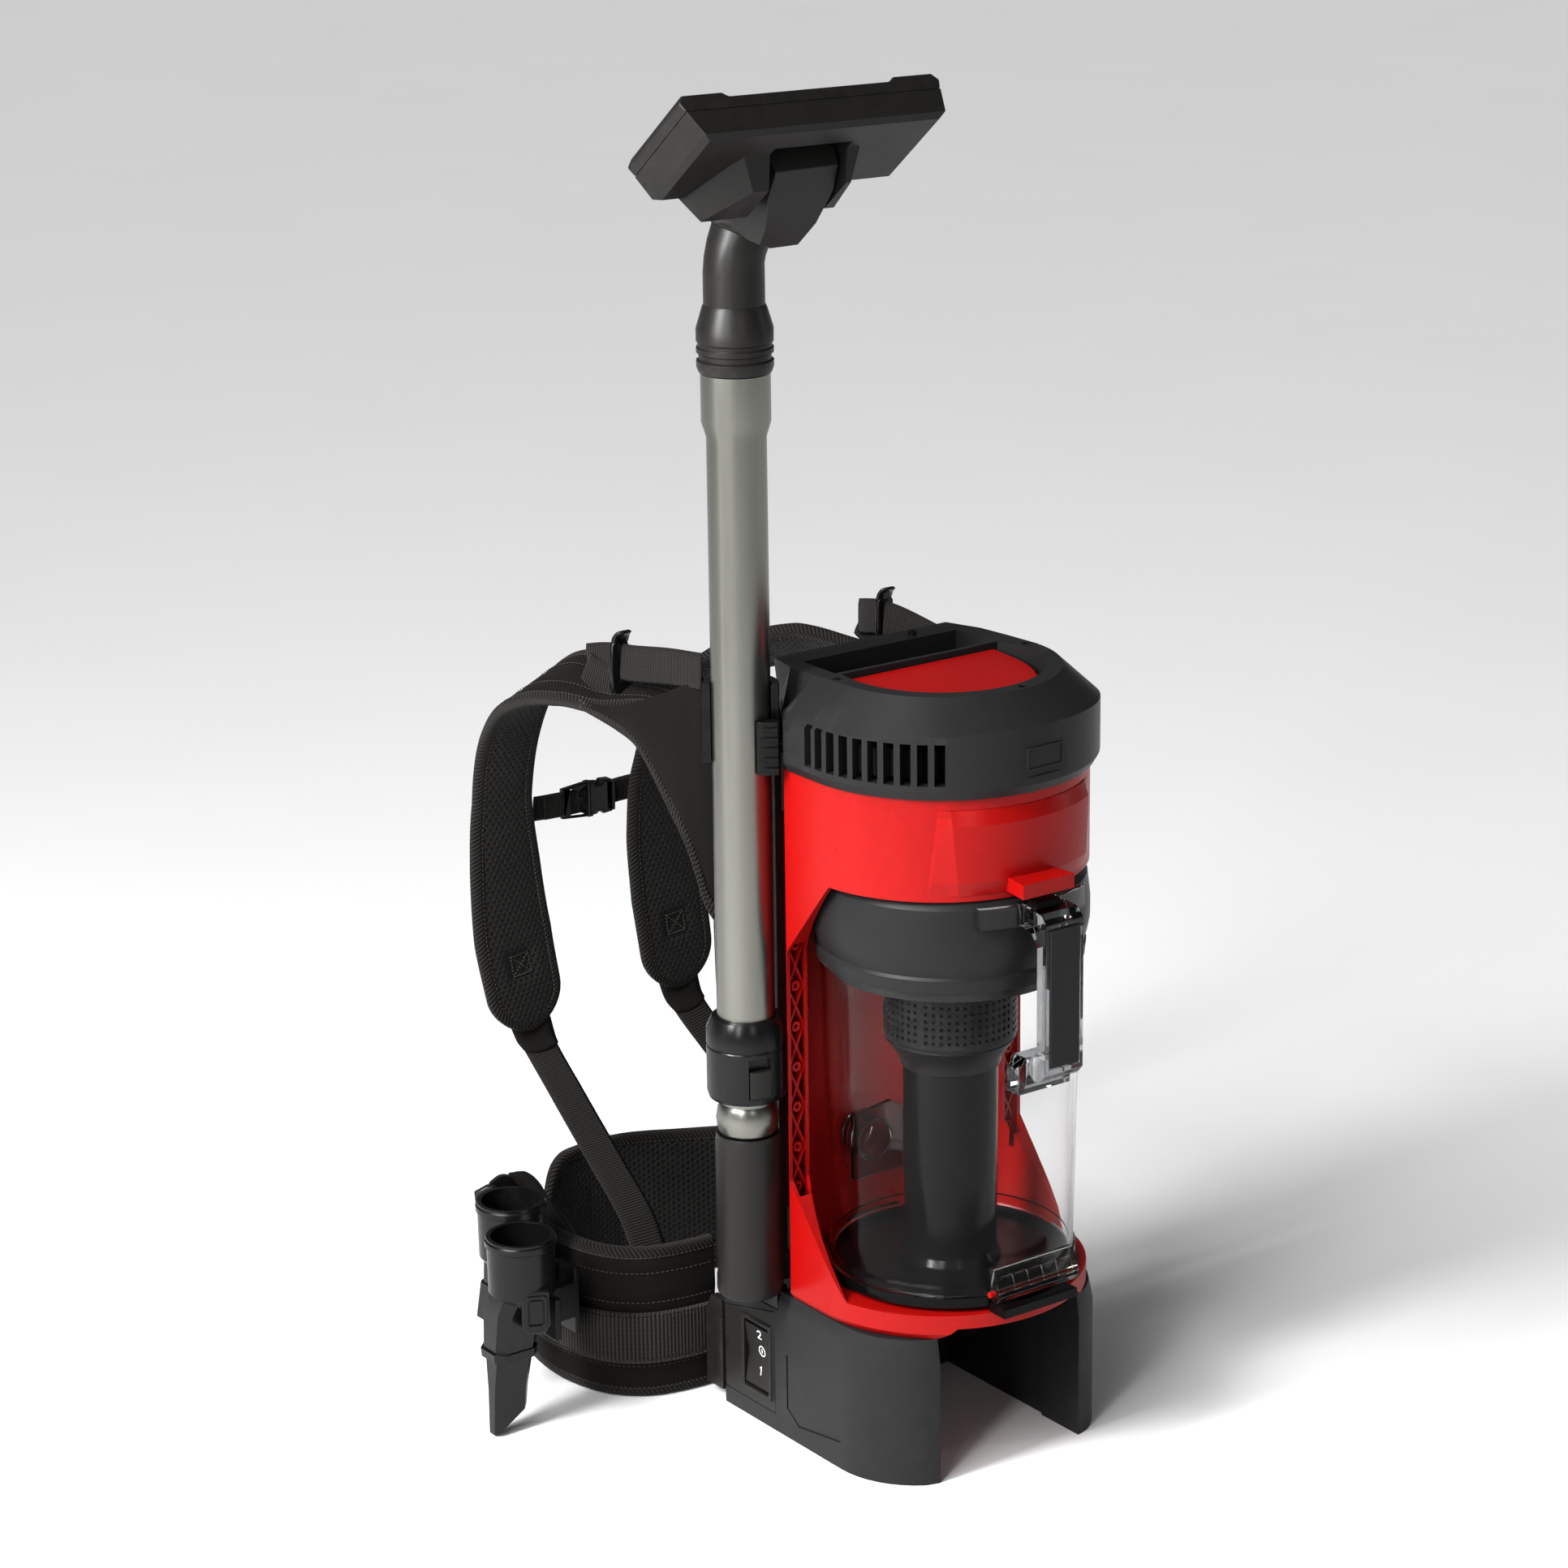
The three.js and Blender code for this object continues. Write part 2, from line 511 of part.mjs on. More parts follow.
function toolNeck() {
  const r = 19.3;
  const cuff = lathe([[0, 700], [19.9, 700], [19.9, 725.5], [23, 725.5], [24.3, 729], [24.3, 733],
    [22.8, 734], [22.8, 737],
    [24.3, 738], [24.3, 741], [23.4, 742], [23.4, 744], [24.3, 745], [24.3, 753], [20.4, 766], [r, 768], [r,
      788], [0, 788]], 24);
  const leanTo = (radius, z0) => loft([0, 0.34, 0.67, 1, 1.9].map((k) => arc(0, 0, radius, 0, 345,
    23).map(([a, b]) => {
    const low = V(a, b, z0);
    const high = onSeam(a, b, 0).addScaledVector(SEAM_N, k > 1 ? 14 : 0);
    return k > 1 ? high : low.lerp(high, k).add(V(-1.6 * Math.sin(k * Math.PI), 0, 0));
  })));
  const bore = join(disc(16, 699, 789, 24), leanTo(16, 788));
  return cut(join(cuff, leanTo(r, 787.6)), bore, slab(0, 60));
}

// swivelling yoke: from the elbow's mouth to the hinge in the head
const edgePoints = (corners) => corners.flatMap((c, i) => [0, 1, 2].map((k) => {
  const d = corners[(i + 1) % corners.length];
  return [c[0] + (d[0] - c[0]) * k / 3, c[1] + (d[1] - c[1]) * k / 3];
}));
function toolYoke() {
  const turns = [-62, -12, 32, 58, 122, 148, 192, 242];
  const collar = turns.flatMap((a, i) => [0, 1, 2].map((k) => a + ((i < 7 ? turns[i + 1] : 298) - a) * k / 3));
  const rings = [collar.map((a) => onSeam(...polar(20.4, a), -6)), collar.map((a) => onSeam(...polar(20.4, a),
    1.5))];
  for (const [y, z, tilt, hx, hy, front] of [
    [-32, 828, 50, 25.5, 24, 15], [-50, 841, 56, 26, 20, 19], [-66, 857, 60, 25.5, 13, 24], [-75, 869, 62, 24,
      8, 23],
  ]) {
    rings.push(edgePoints([[front, -hy], [hx, -0.1 * hy], [hx, 0.6 * hy], [0.7 * hx, hy], [-0.7 * hx, hy],
      [-hx, 0.6 * hy],
      [-hx, -0.1 * hy], [-front, -hy]]).map(([u, v]) => V(u, y + v * Math.cos(rad(tilt)),
        z + v * Math.sin(rad(tilt)))));
  }
  return cut(loft(rings), slab(-60, GAP));
}

// floor head about its hinge, lying flat: sole down, local X along the head
const HEAD_PIN = [-74, 868];     // Y and Z of the hinge, from the wand's axis
const HEAD_L = 95.5;               // half length of the sole
const HEAD_W = 35.5;             // half width of the sole
function floorHead() {
  const shell = loftPlans([
    [rect(-93, 93, -35, 36), -17.5],
    [rect(-88, 88, -34.5, 37.5), -1],
    [rect(-84, 84, -31, 34), 2],
  ]);
  const hump = loftPlans([
    [[[-72, -34.4], [46, -34.4], [40, 16], [-50, 16]], -4],
    [[[-62, -33.5], [36, -33.5], [32, -4], [-40, -4]], 18],
  ]);
  const slot = block(-28.5, 28.5, -40, 17, -17.6, 30);
  return cut(join(shell, hump), slot);
}

function solePlate() {
  const plate = loftPlans([
    [rect(-HEAD_L + 4, HEAD_L - 4, -HEAD_W + 2, HEAD_W), -29],
    [rect(-HEAD_L, HEAD_L, -HEAD_W, HEAD_W + 0.3), -24],
    [rect(-93.2, 93.2, -HEAD_W + 0.3, HEAD_W + 0.5), -17.8],
  ]);
  const throat = block(-70, 70, -7, 7, -30, -22);
  const relief = prismY([[-64, -30], [64, -30], [59, -26], [-59, -26]], 24, 40);
  return cut(plate, throat, relief);
}

// ------------------------------------------------------------ wand storage
function wandPeg() {
  const foot = move(disc(10, 101, 104.5, 16), WAND_X, WAND_Y, 0);
  const arm = block(WAND_X, -88.5, 55, 73, 101, 104.5);
  const peg = move(lathe([[0, 103], [10, 103], [14.5, 108], [14.5, 140], [12, 146], [0, 146]], 20), WAND_X,
    WAND_Y, 0);
  const heel = block(-97, -88.5, 54, 74, 89.4, 102);
  return join(foot, arm, peg, heel);
}

function wandBracket() {
  const grip = move(ring(TUBE_R + 0.6, 24.5, 472, 524, 40), WAND_X, WAND_Y, 0);
  const [ux, uy] = polar(1, 52);
  const mouth = prism([[-60, -4], [60, -4], [60, -60], [-60, -60]].map(([a, b]) => [
    WAND_X + a * uy + b * ux, WAND_Y - a * ux + b * uy]), 460, 540);
  const arm = prism([[-93, 66], [-82.6, 61.4], [-67.2, 86.8], [-84, 93], [-104, 84]], 476.5, 500);
  return cut(join(grip, arm), mouth, move(disc(TUBE_R + 0.6, 460, 540, 40), WAND_X, WAND_Y, 0));
}

// sprung jaw of the clip, about its own upright pin
const JAW_PIN = [-103, 38];
function clipJaw() {
  const plan = [[-115.6, 41.6], [-113, 38.4], [-105, 33], [-103.2, 33.4], [-101.2, 37], [-104, 42.6],
    [-109, 42], [-113.6, 42.2]];
  const local = plan.map(([x, y]) => [x - JAW_PIN[0], y - JAW_PIN[1]]);
  const ribs = [4, 10.6, 17.2, 23.8, 30.4].map((z) =>
    prism([[-11.4, 1.6], [-11.2, -1.2], [-3, -6.6], [-1, -5], [-3, -3.6]], z - 1.3, z + 1.3));
  return join(prism(local, 0, 35), ...ribs);
}

// ------------------------------------------------------------ harness
function harnessBracket() {
  const bar = block(-92, 92, BASE_REAR + GAP, 124, 14, 66);
  const ear = (x) => prismX([[BASE_REAR + GAP, 8], [136.6, 8], [136.6, 62], [130, 74], [BASE_REAR + GAP, 74]],
    x, x + 6);
  return join(bar, ear(-98.5), ear(92.5 - 1), block(-99, -90, 118, 122, 20, 60), block(90, 96, 118, 122, 20,
    60));
}

function harnessFrame() {
  const plate = block(-66, 66, 93, 107, 104, 466);
  const windows = [150, 220, 290, 360].map((z) => block(-44, 44, 80, 120, z, z + 46));
  return cut(join(plate, block(-60, 60, 88.3, 94, 110, 140), block(-60, 60, 88.3, 94, 420, 460)), ...windows);
}

function backPad() {
  return loft([[108, 0], [120, 5], [138, 2], [146, -10]].map(([y, d]) => [
    [-84 - d, 256 - d], [-70, 238 - d], [70, 238 - d], [84 + d, 256 - d], [92 + d, 440], [84, 462 + d], [-84,
      462 + d], [-92 - d, 440],
  ].map(([x, z]) => V(x, y, z))));
}

const HARNESS_DROP = 6;   // the right side of the harness hangs this much lower
// web of fabric from the back pad up to the strap
function sideWing(s) {
  const inner = s < 0 ? -107 : 99;
  const drop = s < 0 ? 0 : HARNESS_DROP;
  return prismX([[111, 520 - drop], [126, 520 - drop], [127, 474 - drop], [180, 474 - drop],
    [200, 469 - drop], [212, 452], [158, 426], [128, 389], [111, 351]], inner, inner + 8);
}

const AX = V(1, 0, 0);
function shoulderPad(side) {
  const p = side < 0 ? [
    [-104, 132, 484], [-105, 176, 485], [-106, 216, 480], [-112, 262, 482], [-115, 306, 463], [-113, 341,
      423], [-112, 356, 372], [-110, 358, 322], [-108, 354, 272], [-103, 349, 228], [-101, 346, 208],
  ] : [
    [106, 132, 478], [106, 176, 479], [104, 214, 474], [82, 258, 474], [56, 302, 460], [33, 340, 426], [19,
      354, 376], [18, 354, 326], [21, 350, 280], [25, 347, 236], [27, 346, 212],
  ];
  const half = [21, 21, 21, 24, 24, 22, 22, 27, 30, 28, 20];
  const roll = [0.35, 0.45, 0.5, 0.7, 0.5, 0.15, 0, 0, 0, 0, 0];
  const turn = [0, 0, 0, 0, 0.15, 0.15, 0.06, 0, 0, 0, 0];
  return band(p.map(([x, y, z], i) => station(x, y, z, V(1, turn[i] * side, -roll[i] * side).normalize(),
    half[i],
    i === 10 ? 4 : 6.5)), 30, 0.7);
}

function lifterStrap(side) {
  const drop = side < 0 ? 0 : HARNESS_DROP;
  return band([[113, 519], [150, 514], [190, 507], [226, 502]].map(([y, z]) =>
    station(108.6 * side, y, z - drop, V(0, 0, 1), 12.5, 1.1)), 8, 0.3);
}

// upright ladder lock standing on the pad, with the strap through its slot
function lifterBuckle(side) {
  const drop = side < 0 ? 0 : HARNESS_DROP;
  const across = (points) => points.map(([x, z]) => [x * side, z - drop]);
  const plate = across([[100, 494.5], [122, 483], [122, 517], [118, 521], [104, 521], [100, 517]]);
  const slot = across([[106.8, 491.4], [110.4, 491.4], [110.4, 518.4], [106.8, 518.4]]);
  return cut(prismY(plate, 205, 209), prismY(slot, 200, 214));
}

function lowerStrap(side) {
  const across = V(0.94, -0.34, 0).normalize();
  const p = side < 0
    ? [[-97, 344, 194], [-102, 300, 170], [-109, 240, 138], [-114, 194, 112], [-116, 176, 92]]
    : [[29, 344, 199], [36, 305, 166], [48, 258, 130], [60, 222, 104], [66, 208, 90]];
  return band(p.map(([x, y, z]) => station(x, y, z, across, 12.5, 1)), 12, 0.3);
}

function sternumStrap() {
  return band([[-84, 360, 359], [-64, 360, 358], [-40, 360, 358], [-12, 360, 360]].map(([x, y, z]) =>
    station(x, y, z, V(0, 0, 1), 9, 1)), 8, 0.3);
}

function sternumBuckle() {
  const body = block(-14, 14, -5, 5, -12, 12);
  return move(cut(body, block(-15, 15, -2.4, 2.4, -10.4, 10.4)), -43, 360, 358.2);
}

const beltRing = (points, half, thick, z, corner) => band(points.map(([x, y]) => station(x, y, z, V(0, 0, 1),
  half, thick)),
  22, corner);

const LEFT_WING = [[-86, 146], [-110, 148], [-134, 155], [-152, 172], [-163, 205], [-162, 245], [-150, 285]];
function beltWing(side) {
  const right = [[86, 146], [99, 176], [99, 214], [86, 252], [54, 288], [8, 315], [-38, 336], [-88, 332],
    [-108, 322]];
  return beltRing(side < 0 ? LEFT_WING : right, BELT_H / 2, 6.5, BELT_H / 2 + 0.2, 0.8);
}

const lumbarPad = () => loft([[124.5, -2], [130, 0], [142, 0], [150, -8]].map(([y, d]) => [
  [-76 - d, 4], [76 + d, 4], [80 + d, 20], [80 + d, 104], [66, 122 + d], [-66, 122 + d], [-80 - d, 104],
    [-80 - d, 20],
].map(([x, z]) => V(x, y, z))));

function beltWebbing() {
  const path = LEFT_WING.map(([x, y]) => station(x, y, 46, V(0, 0, 1), 19, 0.9));
  return band(path, 22, 0.3, -8);
}

function beltBuckle() {
  return move(block(-9, 9, -14, 14, -17, 17), -132, 307, 55, 0, 0, -47);
}

// ------------------------------------------------------------ belt tools
// both stand upright, the mouth's centre at the local origin
const TOOL_BODY = [-7.9, 6.2];   // the narrow end stands off the mouth's axis
const octagon = (hx, hy, c) => [[-hx, -hy + c], [-hx + c, -hy], [hx - c, -hy], [hx, -hy + c], [hx, hy - c],
  [hx - c, hy], [-hx + c, hy], [-hx, hy - c]];
const toolLevels = (levels) => loft(levels.map(([z, hx, hy, k, c]) => octagon(hx, hy, c).map(([x, y]) =>
  V(x + TOOL_BODY[0] * k, y + TOOL_BODY[1] * k, z))));
const mouth = (depth, foot) => lathe([[0, -depth], [foot, -depth], [22.4, -depth + 7], [22.8, -7], [24, -6],
  [24, -2.5], [23, -1.5], [23, 0], [20, 0], [20, -30], [0, -33]], 28);

function crevice() {
  const neck = toolLevels([[-38, 17, 17, 0.2, 8], [-52, 17, 16, 0.7, 7], [-84, 15.5, 13, 1, 6]]);
  const lip = toolLevels([[-80, 17, 14.5, 1, 6], [-86, 16.5, 14, 1, 6]]);
  const blade = toolLevels([[-84, 14, 12, 1, 5], [-110, 13, 8, 1.15, 4], [-142, 12, 6, 1.3, 3]]);
  const slant = prismY([[-60, -144], [-22, -141.5], [6, -122], [6, -150], [-60, -150]], -40, 40);
  return cut(join(mouth(46, 17), neck, lip, blade), slant);
}

function brush() {
  const neck = toolLevels([[-40, 17, 17, 0, 8], [-62, 14, 14, 0.4, 6]]);
  const foot = toolLevels([[-60, 15, 13, 0.4, 3], [-84, 19, 12, 0.4, 2]]);
  return join(mouth(46, 17), neck, foot);
}

// bar on the belt that carries both tools
function toolHolder() {
  const plate = block(-177.4, -173.6, 177, 232, 50, 98);
  const near = block(-213.6, -177, 177, 184, 62, 88);
  const loop = block(-213.6, -208.8, 145, 184, 66, 96);
  const far = block(-186.6, -177, 208, 224, 62, 88);
  return join(plate, near, loop, far);
}

// ------------------------------------------------------------ assembly
const model = new THREE.Group();
const at = (parent, x, y, z) => {
  const g = new THREE.Group();
  g.position.set(x, y, z);
  parent.add(g);
  return g;
};

// base
piece(model, 'base_skirt', baseSkirt(), DARK);
piece(model, 'switch_panel', switchPanel(), BLACK);
piece(model, 'power_rocker', powerRocker(), BLACK, -92, 77, 47.2);
piece(model, 'terminal_block', terminalBlock(), BLACK);

// frame and motor head
piece(model, 'red_frame', redFrame(), RED);
piece(model, 'motor_housing', motorHousing(), DARK);
piece(model, 'motor_cover', motorCover(), RED);
SCREWS.forEach(([x, y], i) => piece(model, `housing_screw_${i + 1}`,
  cut(disc(2.7, 0, 2.4, 10), block(-1.9, 1.9, -0.5, 0.5, 1.4, 3), block(-0.5, 0.5, -1.9, 1.9, 1.4, 3)), STEEL,
    x, y, HOUSE_TOP - 2.7));
piece(model, 'suction_motor', suctionMotor(), STEEL, 0, CAN_Y, 0);
piece(model, 'fan_impeller', fanImpeller(), BLACK, 0, CAN_Y, 0);
piece(model, 'exhaust_filter', exhaustFilter(), WHITE);

// canister
const canister = at(model, 0, CAN_Y, 0);
piece(canister, 'canister_bin', bin(), CLEAR);
piece(canister, 'canister_lid', canisterLid(), DARK);
piece(canister, 'shroud', shroud(), BLACK);
piece(canister, 'intake_tube', intakeTube(), BLACK);
piece(canister, 'bottom_door', bottomDoor(), BLACK);
piece(canister, 'inlet_port', inletPort(), SMOKE);
piece(canister, 'canister_handle', canisterHandle(), SMOKE);
piece(canister, 'handle_insert', handleInsert(), BLACK);
piece(canister, 'release_button', releaseButton(), BLACK, 0, -106.5 - CAN_Y, 390.3);
const latch = at(canister, 0, -97 - CAN_Y, 136);
piece(latch, 'door_latch', doorLatch(), SMOKE);
piece(latch, 'latch_pin', latchPin(), RED);

// wand and its storage
piece(model, 'wand_peg', wandPeg(), BLACK);
piece(model, 'wand_bracket', wandBracket(), BLACK);
piece(model, 'clip_jaw', clipJaw(), BLACK, ...JAW_PIN, 468);
const wand = at(model, WAND_X, WAND_Y, 0);
piece(wand, 'inner_tube', innerTube(), METAL);
piece(wand, 'tube_cuff', tubeCuff(), BLACK);
piece(wand, 'outer_tube', outerTube(), METAL);
piece(wand, 'lock_collar', lockCollar(), BLACK);
piece(wand, 'collar_slider', collarSlider(), BLACK);

// floor tool
piece(wand, 'tool_neck', toolNeck(), BLACK);
piece(wand, 'tool_yoke', toolYoke(), BLACK);
const head = at(wand, -2, HEAD_PIN[0], HEAD_PIN[1]);
head.rotation.set(rad(140.5), rad(1), 0, 'YXZ');
piece(head, 'floor_head', floorHead(), BLACK);
piece(head, 'sole_plate', solePlate(), BLACK);

// harness
piece(model, 'harness_bracket', harnessBracket(), BLACK);
piece(model, 'harness_frame', harnessFrame(), BLACK);
piece(model, 'back_pad', backPad(), FABRIC);
for (const [side, s] of [['left', -1], ['right', 1]]) {
  piece(model, `side_wing_${side}`, sideWing(s), FABRIC);
  piece(model, `shoulder_pad_${side}`, shoulderPad(s), FABRIC);
  piece(model, `lifter_strap_${side}`, lifterStrap(s), WEBBING);
  piece(model, `lifter_buckle_${side}`, lifterBuckle(s), BLACK);
  piece(model, `lower_strap_${side}`, lowerStrap(s), WEBBING);
  piece(model, `belt_wing_${side}`, beltWing(s), FABRIC);
}
piece(model, 'lumbar_pad', lumbarPad(), FABRIC);
piece(model, 'sternum_strap', sternumStrap(), WEBBING);
piece(model, 'sternum_buckle', sternumBuckle(), BLACK);
piece(model, 'belt_webbing', beltWebbing(), WEBBING);
piece(model, 'belt_buckle', beltBuckle(), BLACK);
piece(model, 'tool_holder', toolHolder(), BLACK);

// belt tools
piece(model, 'crevice_tool', crevice(), BLACK, -230, 159, 143);
piece(model, 'dusting_tool', brush(), BLACK, -203, 214, 143);

// the origin is under the middle of the whole object
model.updateMatrixWorld(true);
const extent = new THREE.Box3().setFromObject(model, true);
const middle = extent.getCenter(V());
const group = new THREE.Group();
group.add(model);
model.position.set(-Math.round(middle.x), -Math.round(middle.y), 0);

export default group;
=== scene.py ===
"""Backpack vacuum cleaner: the looks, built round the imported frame."""
import json
import math

import bmesh
import bpy
import numpy as np
from mathutils import Matrix, Vector

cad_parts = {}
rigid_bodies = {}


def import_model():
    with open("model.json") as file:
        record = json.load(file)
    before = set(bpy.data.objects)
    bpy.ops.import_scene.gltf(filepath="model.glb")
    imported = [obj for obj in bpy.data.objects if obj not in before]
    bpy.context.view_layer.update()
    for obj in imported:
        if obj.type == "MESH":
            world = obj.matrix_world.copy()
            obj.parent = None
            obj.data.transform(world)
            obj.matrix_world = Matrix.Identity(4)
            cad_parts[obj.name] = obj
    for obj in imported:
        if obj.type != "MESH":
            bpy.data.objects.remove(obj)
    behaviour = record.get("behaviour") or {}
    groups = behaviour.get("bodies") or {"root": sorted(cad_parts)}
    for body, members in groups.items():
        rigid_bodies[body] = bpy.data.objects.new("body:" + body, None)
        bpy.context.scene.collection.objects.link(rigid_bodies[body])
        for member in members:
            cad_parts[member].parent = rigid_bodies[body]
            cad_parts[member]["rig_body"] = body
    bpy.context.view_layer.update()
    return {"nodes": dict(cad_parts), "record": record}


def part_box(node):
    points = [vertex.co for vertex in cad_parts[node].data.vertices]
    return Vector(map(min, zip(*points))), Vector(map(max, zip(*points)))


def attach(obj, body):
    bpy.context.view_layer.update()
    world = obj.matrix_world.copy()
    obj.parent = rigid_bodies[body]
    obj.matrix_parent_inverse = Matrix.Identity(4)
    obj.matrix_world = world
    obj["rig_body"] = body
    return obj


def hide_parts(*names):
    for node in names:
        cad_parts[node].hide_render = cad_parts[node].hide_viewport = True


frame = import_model()

# ------------------------------------------------------------------ sizes
MM = 0.001
BASE_LO, BASE_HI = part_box("base_skirt")
AXIS_X = (BASE_LO.x + BASE_HI.x) / 2          # the body's own axis
AXIS_Y = BASE_HI.y - 0.117
CAN_Y = -9.0                                  # canister axis, from the body's
FRAME_R, FRAME_CY = 97.0, 2.0                # round front of the red band
AZIMUTH, ELEVATION = -38.0, 17.4              # where the camera stands
DISTANCE = 2.958                              # from the body's axis at the ground
SEEN_AT = (-0.00707, -0.14522)                # slopes at which the camera sees that point
FOCAL, SENSOR, SHIFT = 100.62, 36.0, -0.1211


def linked(name, data):
    """A new object with this data, in the scene."""
    obj = bpy.data.objects.new(name, data)
    bpy.context.scene.collection.objects.link(obj)
    return obj


def face_along(obj, direction):
    obj.rotation_mode = "QUATERNION"
    obj.rotation_quaternion = direction.to_track_quat("-Z", "Y")


def at(x, y, z):
    """Millimetres from the body's axis, to metres in the row frame."""
    return Vector((x * MM + AXIS_X, y * MM + AXIS_Y, z * MM))


# ------------------------------------------------------------------ camera, light, floor
def make_camera():
    a, e = math.radians(AZIMUTH), math.radians(ELEVATION)
    back = Vector((math.sin(a) * math.cos(e), -math.cos(a) * math.cos(e), math.sin(e)))
    right = Vector((math.cos(a), math.sin(a), 0))
    up = right.cross(-back)
    data = bpy.data.cameras.new("view")
    data.lens, data.sensor_width, data.shift_x = FOCAL, SENSOR, SHIFT
    data.clip_start, data.clip_end = 0.05, 60
    cam = linked("view", data)
    face_along(cam, -back)
    cam.location = at(0, 0, 0) - DISTANCE * (-back + SEEN_AT[0] * right + SEEN_AT[1] * up)
    bpy.context.scene.camera = cam


def area_light(name, place, aim, size, power):
    data = bpy.data.lights.new(name, "AREA")
    data.shape, data.size, data.size_y = "RECTANGLE", size[0], size[1]
    data.energy = power
    lamp = linked(name, data)
    lamp.location = place
    face_along(lamp, Vector(aim) - Vector(place))


# ------------------------------------------------------------------ materials
class Look:
    """A material and short calls for its nodes."""

    def __init__(self, name, color=None, rough=0.5, metal=0.0):
        self.material = bpy.data.materials.new(name)
        self.material.use_nodes = True
        self.tree = self.material.node_tree
        self.shader = self.tree.nodes["Principled BSDF"]
        if color:
            self.shader.inputs["Base Color"].default_value = (*color, 1)
        self.shader.inputs["Roughness"].default_value = rough
        self.shader.inputs["Metallic"].default_value = metal

    def add(self, kind, ins=None, **props):
        return self.node(kind, ins, **props).outputs[0]

    def node(self, kind, ins=None, **props):
        node = self.tree.nodes.new("ShaderNode" + kind)
        for k, v in props.items():
            setattr(node, k, v)
        for k, v in (ins or {}).items():
            if isinstance(v, bpy.types.NodeSocket):
                self.tree.links.new(v, node.inputs[k])
            else:
                node.inputs[k].default_value = v
        return node

    def math(self, op, a, b=0.0, c=0.0):
        return self.add("Math", {0: a, 1: b, 2: c}, operation=op)

    def times(self, a, b):
        return self.math("MULTIPLY", a, b)

    def place(self, scale=(1, 1, 1), uv=False):
        out = self.node("TexCoord").outputs["UV" if uv else "Object"]
        return self.add("Mapping", {"Vector": out, "Scale": scale})

    def noise(self, vector, scale, detail=3.0, rough=0.55):
        return self.add("TexNoise", {"Vector": vector, "Scale": scale, "Detail": detail, "Roughness": rough})

    def spread(self, value, low, high, out_low=0.0, out_high=1.0):
        return self.add("MapRange", {0: value, 1: low, 2: high, 3: out_low, 4: out_high})

    def mix(self, share, a, b):
        a, b = ((*v, 1) if isinstance(v, tuple) else v for v in (a, b))
        return self.node("Mix", {0: share, 6: a, 7: b}, data_type="RGBA").outputs[2]

    def color(self, out):
        self.tree.links.new(out, self.shader.inputs["Base Color"])

    def rough(self, out):
        self.tree.links.new(out, self.shader.inputs["Roughness"])

    def bump(self, height, depth, strength=1.0):
        out = self.add("Bump", {"Strength": strength, "Distance": depth, "Height": height})
        self.tree.links.new(out, self.shader.inputs["Normal"])

    def set(self, **values):
        for k, v in values.items():
            self.shader.inputs[k.replace("_", " ")].default_value = v
        return self


def shade(c, k):
    return tuple(min(1.0, v * k) for v in c)


def moulded(name, color, rough=0.42, grain=0.00006, wear=1.35, spec=0.5):
    """Moulded plastic: fine spark-eroded grain, faint mottling, paler worn edges."""
    m = Look(name, color, rough)
    p = m.place()
    broad = m.noise(p, 14, 4)
    fine = m.noise(p, 3600, 1, 0.5)
    base = m.mix(m.spread(broad, 0.35, 0.68), shade(color, 0.96), shade(color, 1.04))
    edge = m.node("NewGeometry").outputs["Pointiness"]
    scuff = m.times(m.spread(edge, 0.515, 0.60), m.spread(m.noise(p, 120, 4), 0.42, 0.62))
    m.color(m.mix(scuff, base, shade(color, wear)))
    smear = m.math("MULTIPLY_ADD", m.noise(p, 45, 5, 0.6), 0.16, rough - 0.08)
    m.rough(smear)
    m.bump(fine, grain, 0.4)
    m.set(Specular_IOR_Level=spec)
    return m.material


def brushed_metal(name, color, rough=0.34):
    """Drawn tube: fine lines along its length, faint handling marks."""
    m = Look(name, color, rough, 1.0)
    along = m.place((1, 1, 0.012))
    lines = m.noise(along, 1400, 3, 0.65)
    soft = m.noise(m.place((1, 1, 0.25)), 60, 3)
    m.color(m.mix(m.spread(soft, 0.3, 0.7), shade(color, 0.97), shade(color, 1.02)))
    m.rough(m.math("MULTIPLY_ADD", m.math("ADD", lines, m.times(soft, 0.4)), 0.06, rough - 0.04))
    m.bump(lines, 0.000008, 0.3)
    return m.material


def clear_plastic(name, color, rough=0.0, haze=0.03, ior=1.3, spec=0.5):
    m = Look(name, color, rough)
    p = m.place()
    m.rough(m.spread(m.noise(m.place((1, 1, 0.15)), 90, 6, 0.7), 0.52, 0.8, rough, rough + haze))
    m.color(m.mix(m.spread(m.noise(p, 9, 3), 0.3, 0.7), color, shade(color, 0.97)))
    m.bump(m.noise(p, 12, 2), 0.0002, 0.1)
    m.set(Transmission_Weight=1.0, IOR=ior, Specular_IOR_Level=spec)
    return m.material


def cloth_look(m, color, height, depth, rough=0.88, fuzz=0.03):
    p = m.place()
    tone = m.spread(m.noise(p, 26, 4), 0.3, 0.7)
    # Painted shade and highlight: the weave's low places are darkened to 0.3 of the cloth colour and its high
    # places lightened to 2.0, following the bump height.
    thread = m.mix(m.spread(height, 0.15, 0.85), shade(color, 0.3), shade(color, 2.0))
    m.color(m.mix(m.times(tone, 0.25), thread, shade(color, 1.6)))
    m.bump(height, depth, 1.0)
    m.set(Roughness=rough, Sheen_Weight=fuzz, Sheen_Roughness=0.5, Specular_IOR_Level=0.08)
    return m.material


def cell(m, value, pitch, start=0.0):
    """-0.5..0.5 within each repeat along one axis."""
    return m.math("SUBTRACT", m.math("FRACT", m.math("MULTIPLY_ADD", value, 1 / pitch, start)), 0.5)


def axes_of(m, vector):
    return m.node("SeparateXYZ", {0: vector}).outputs


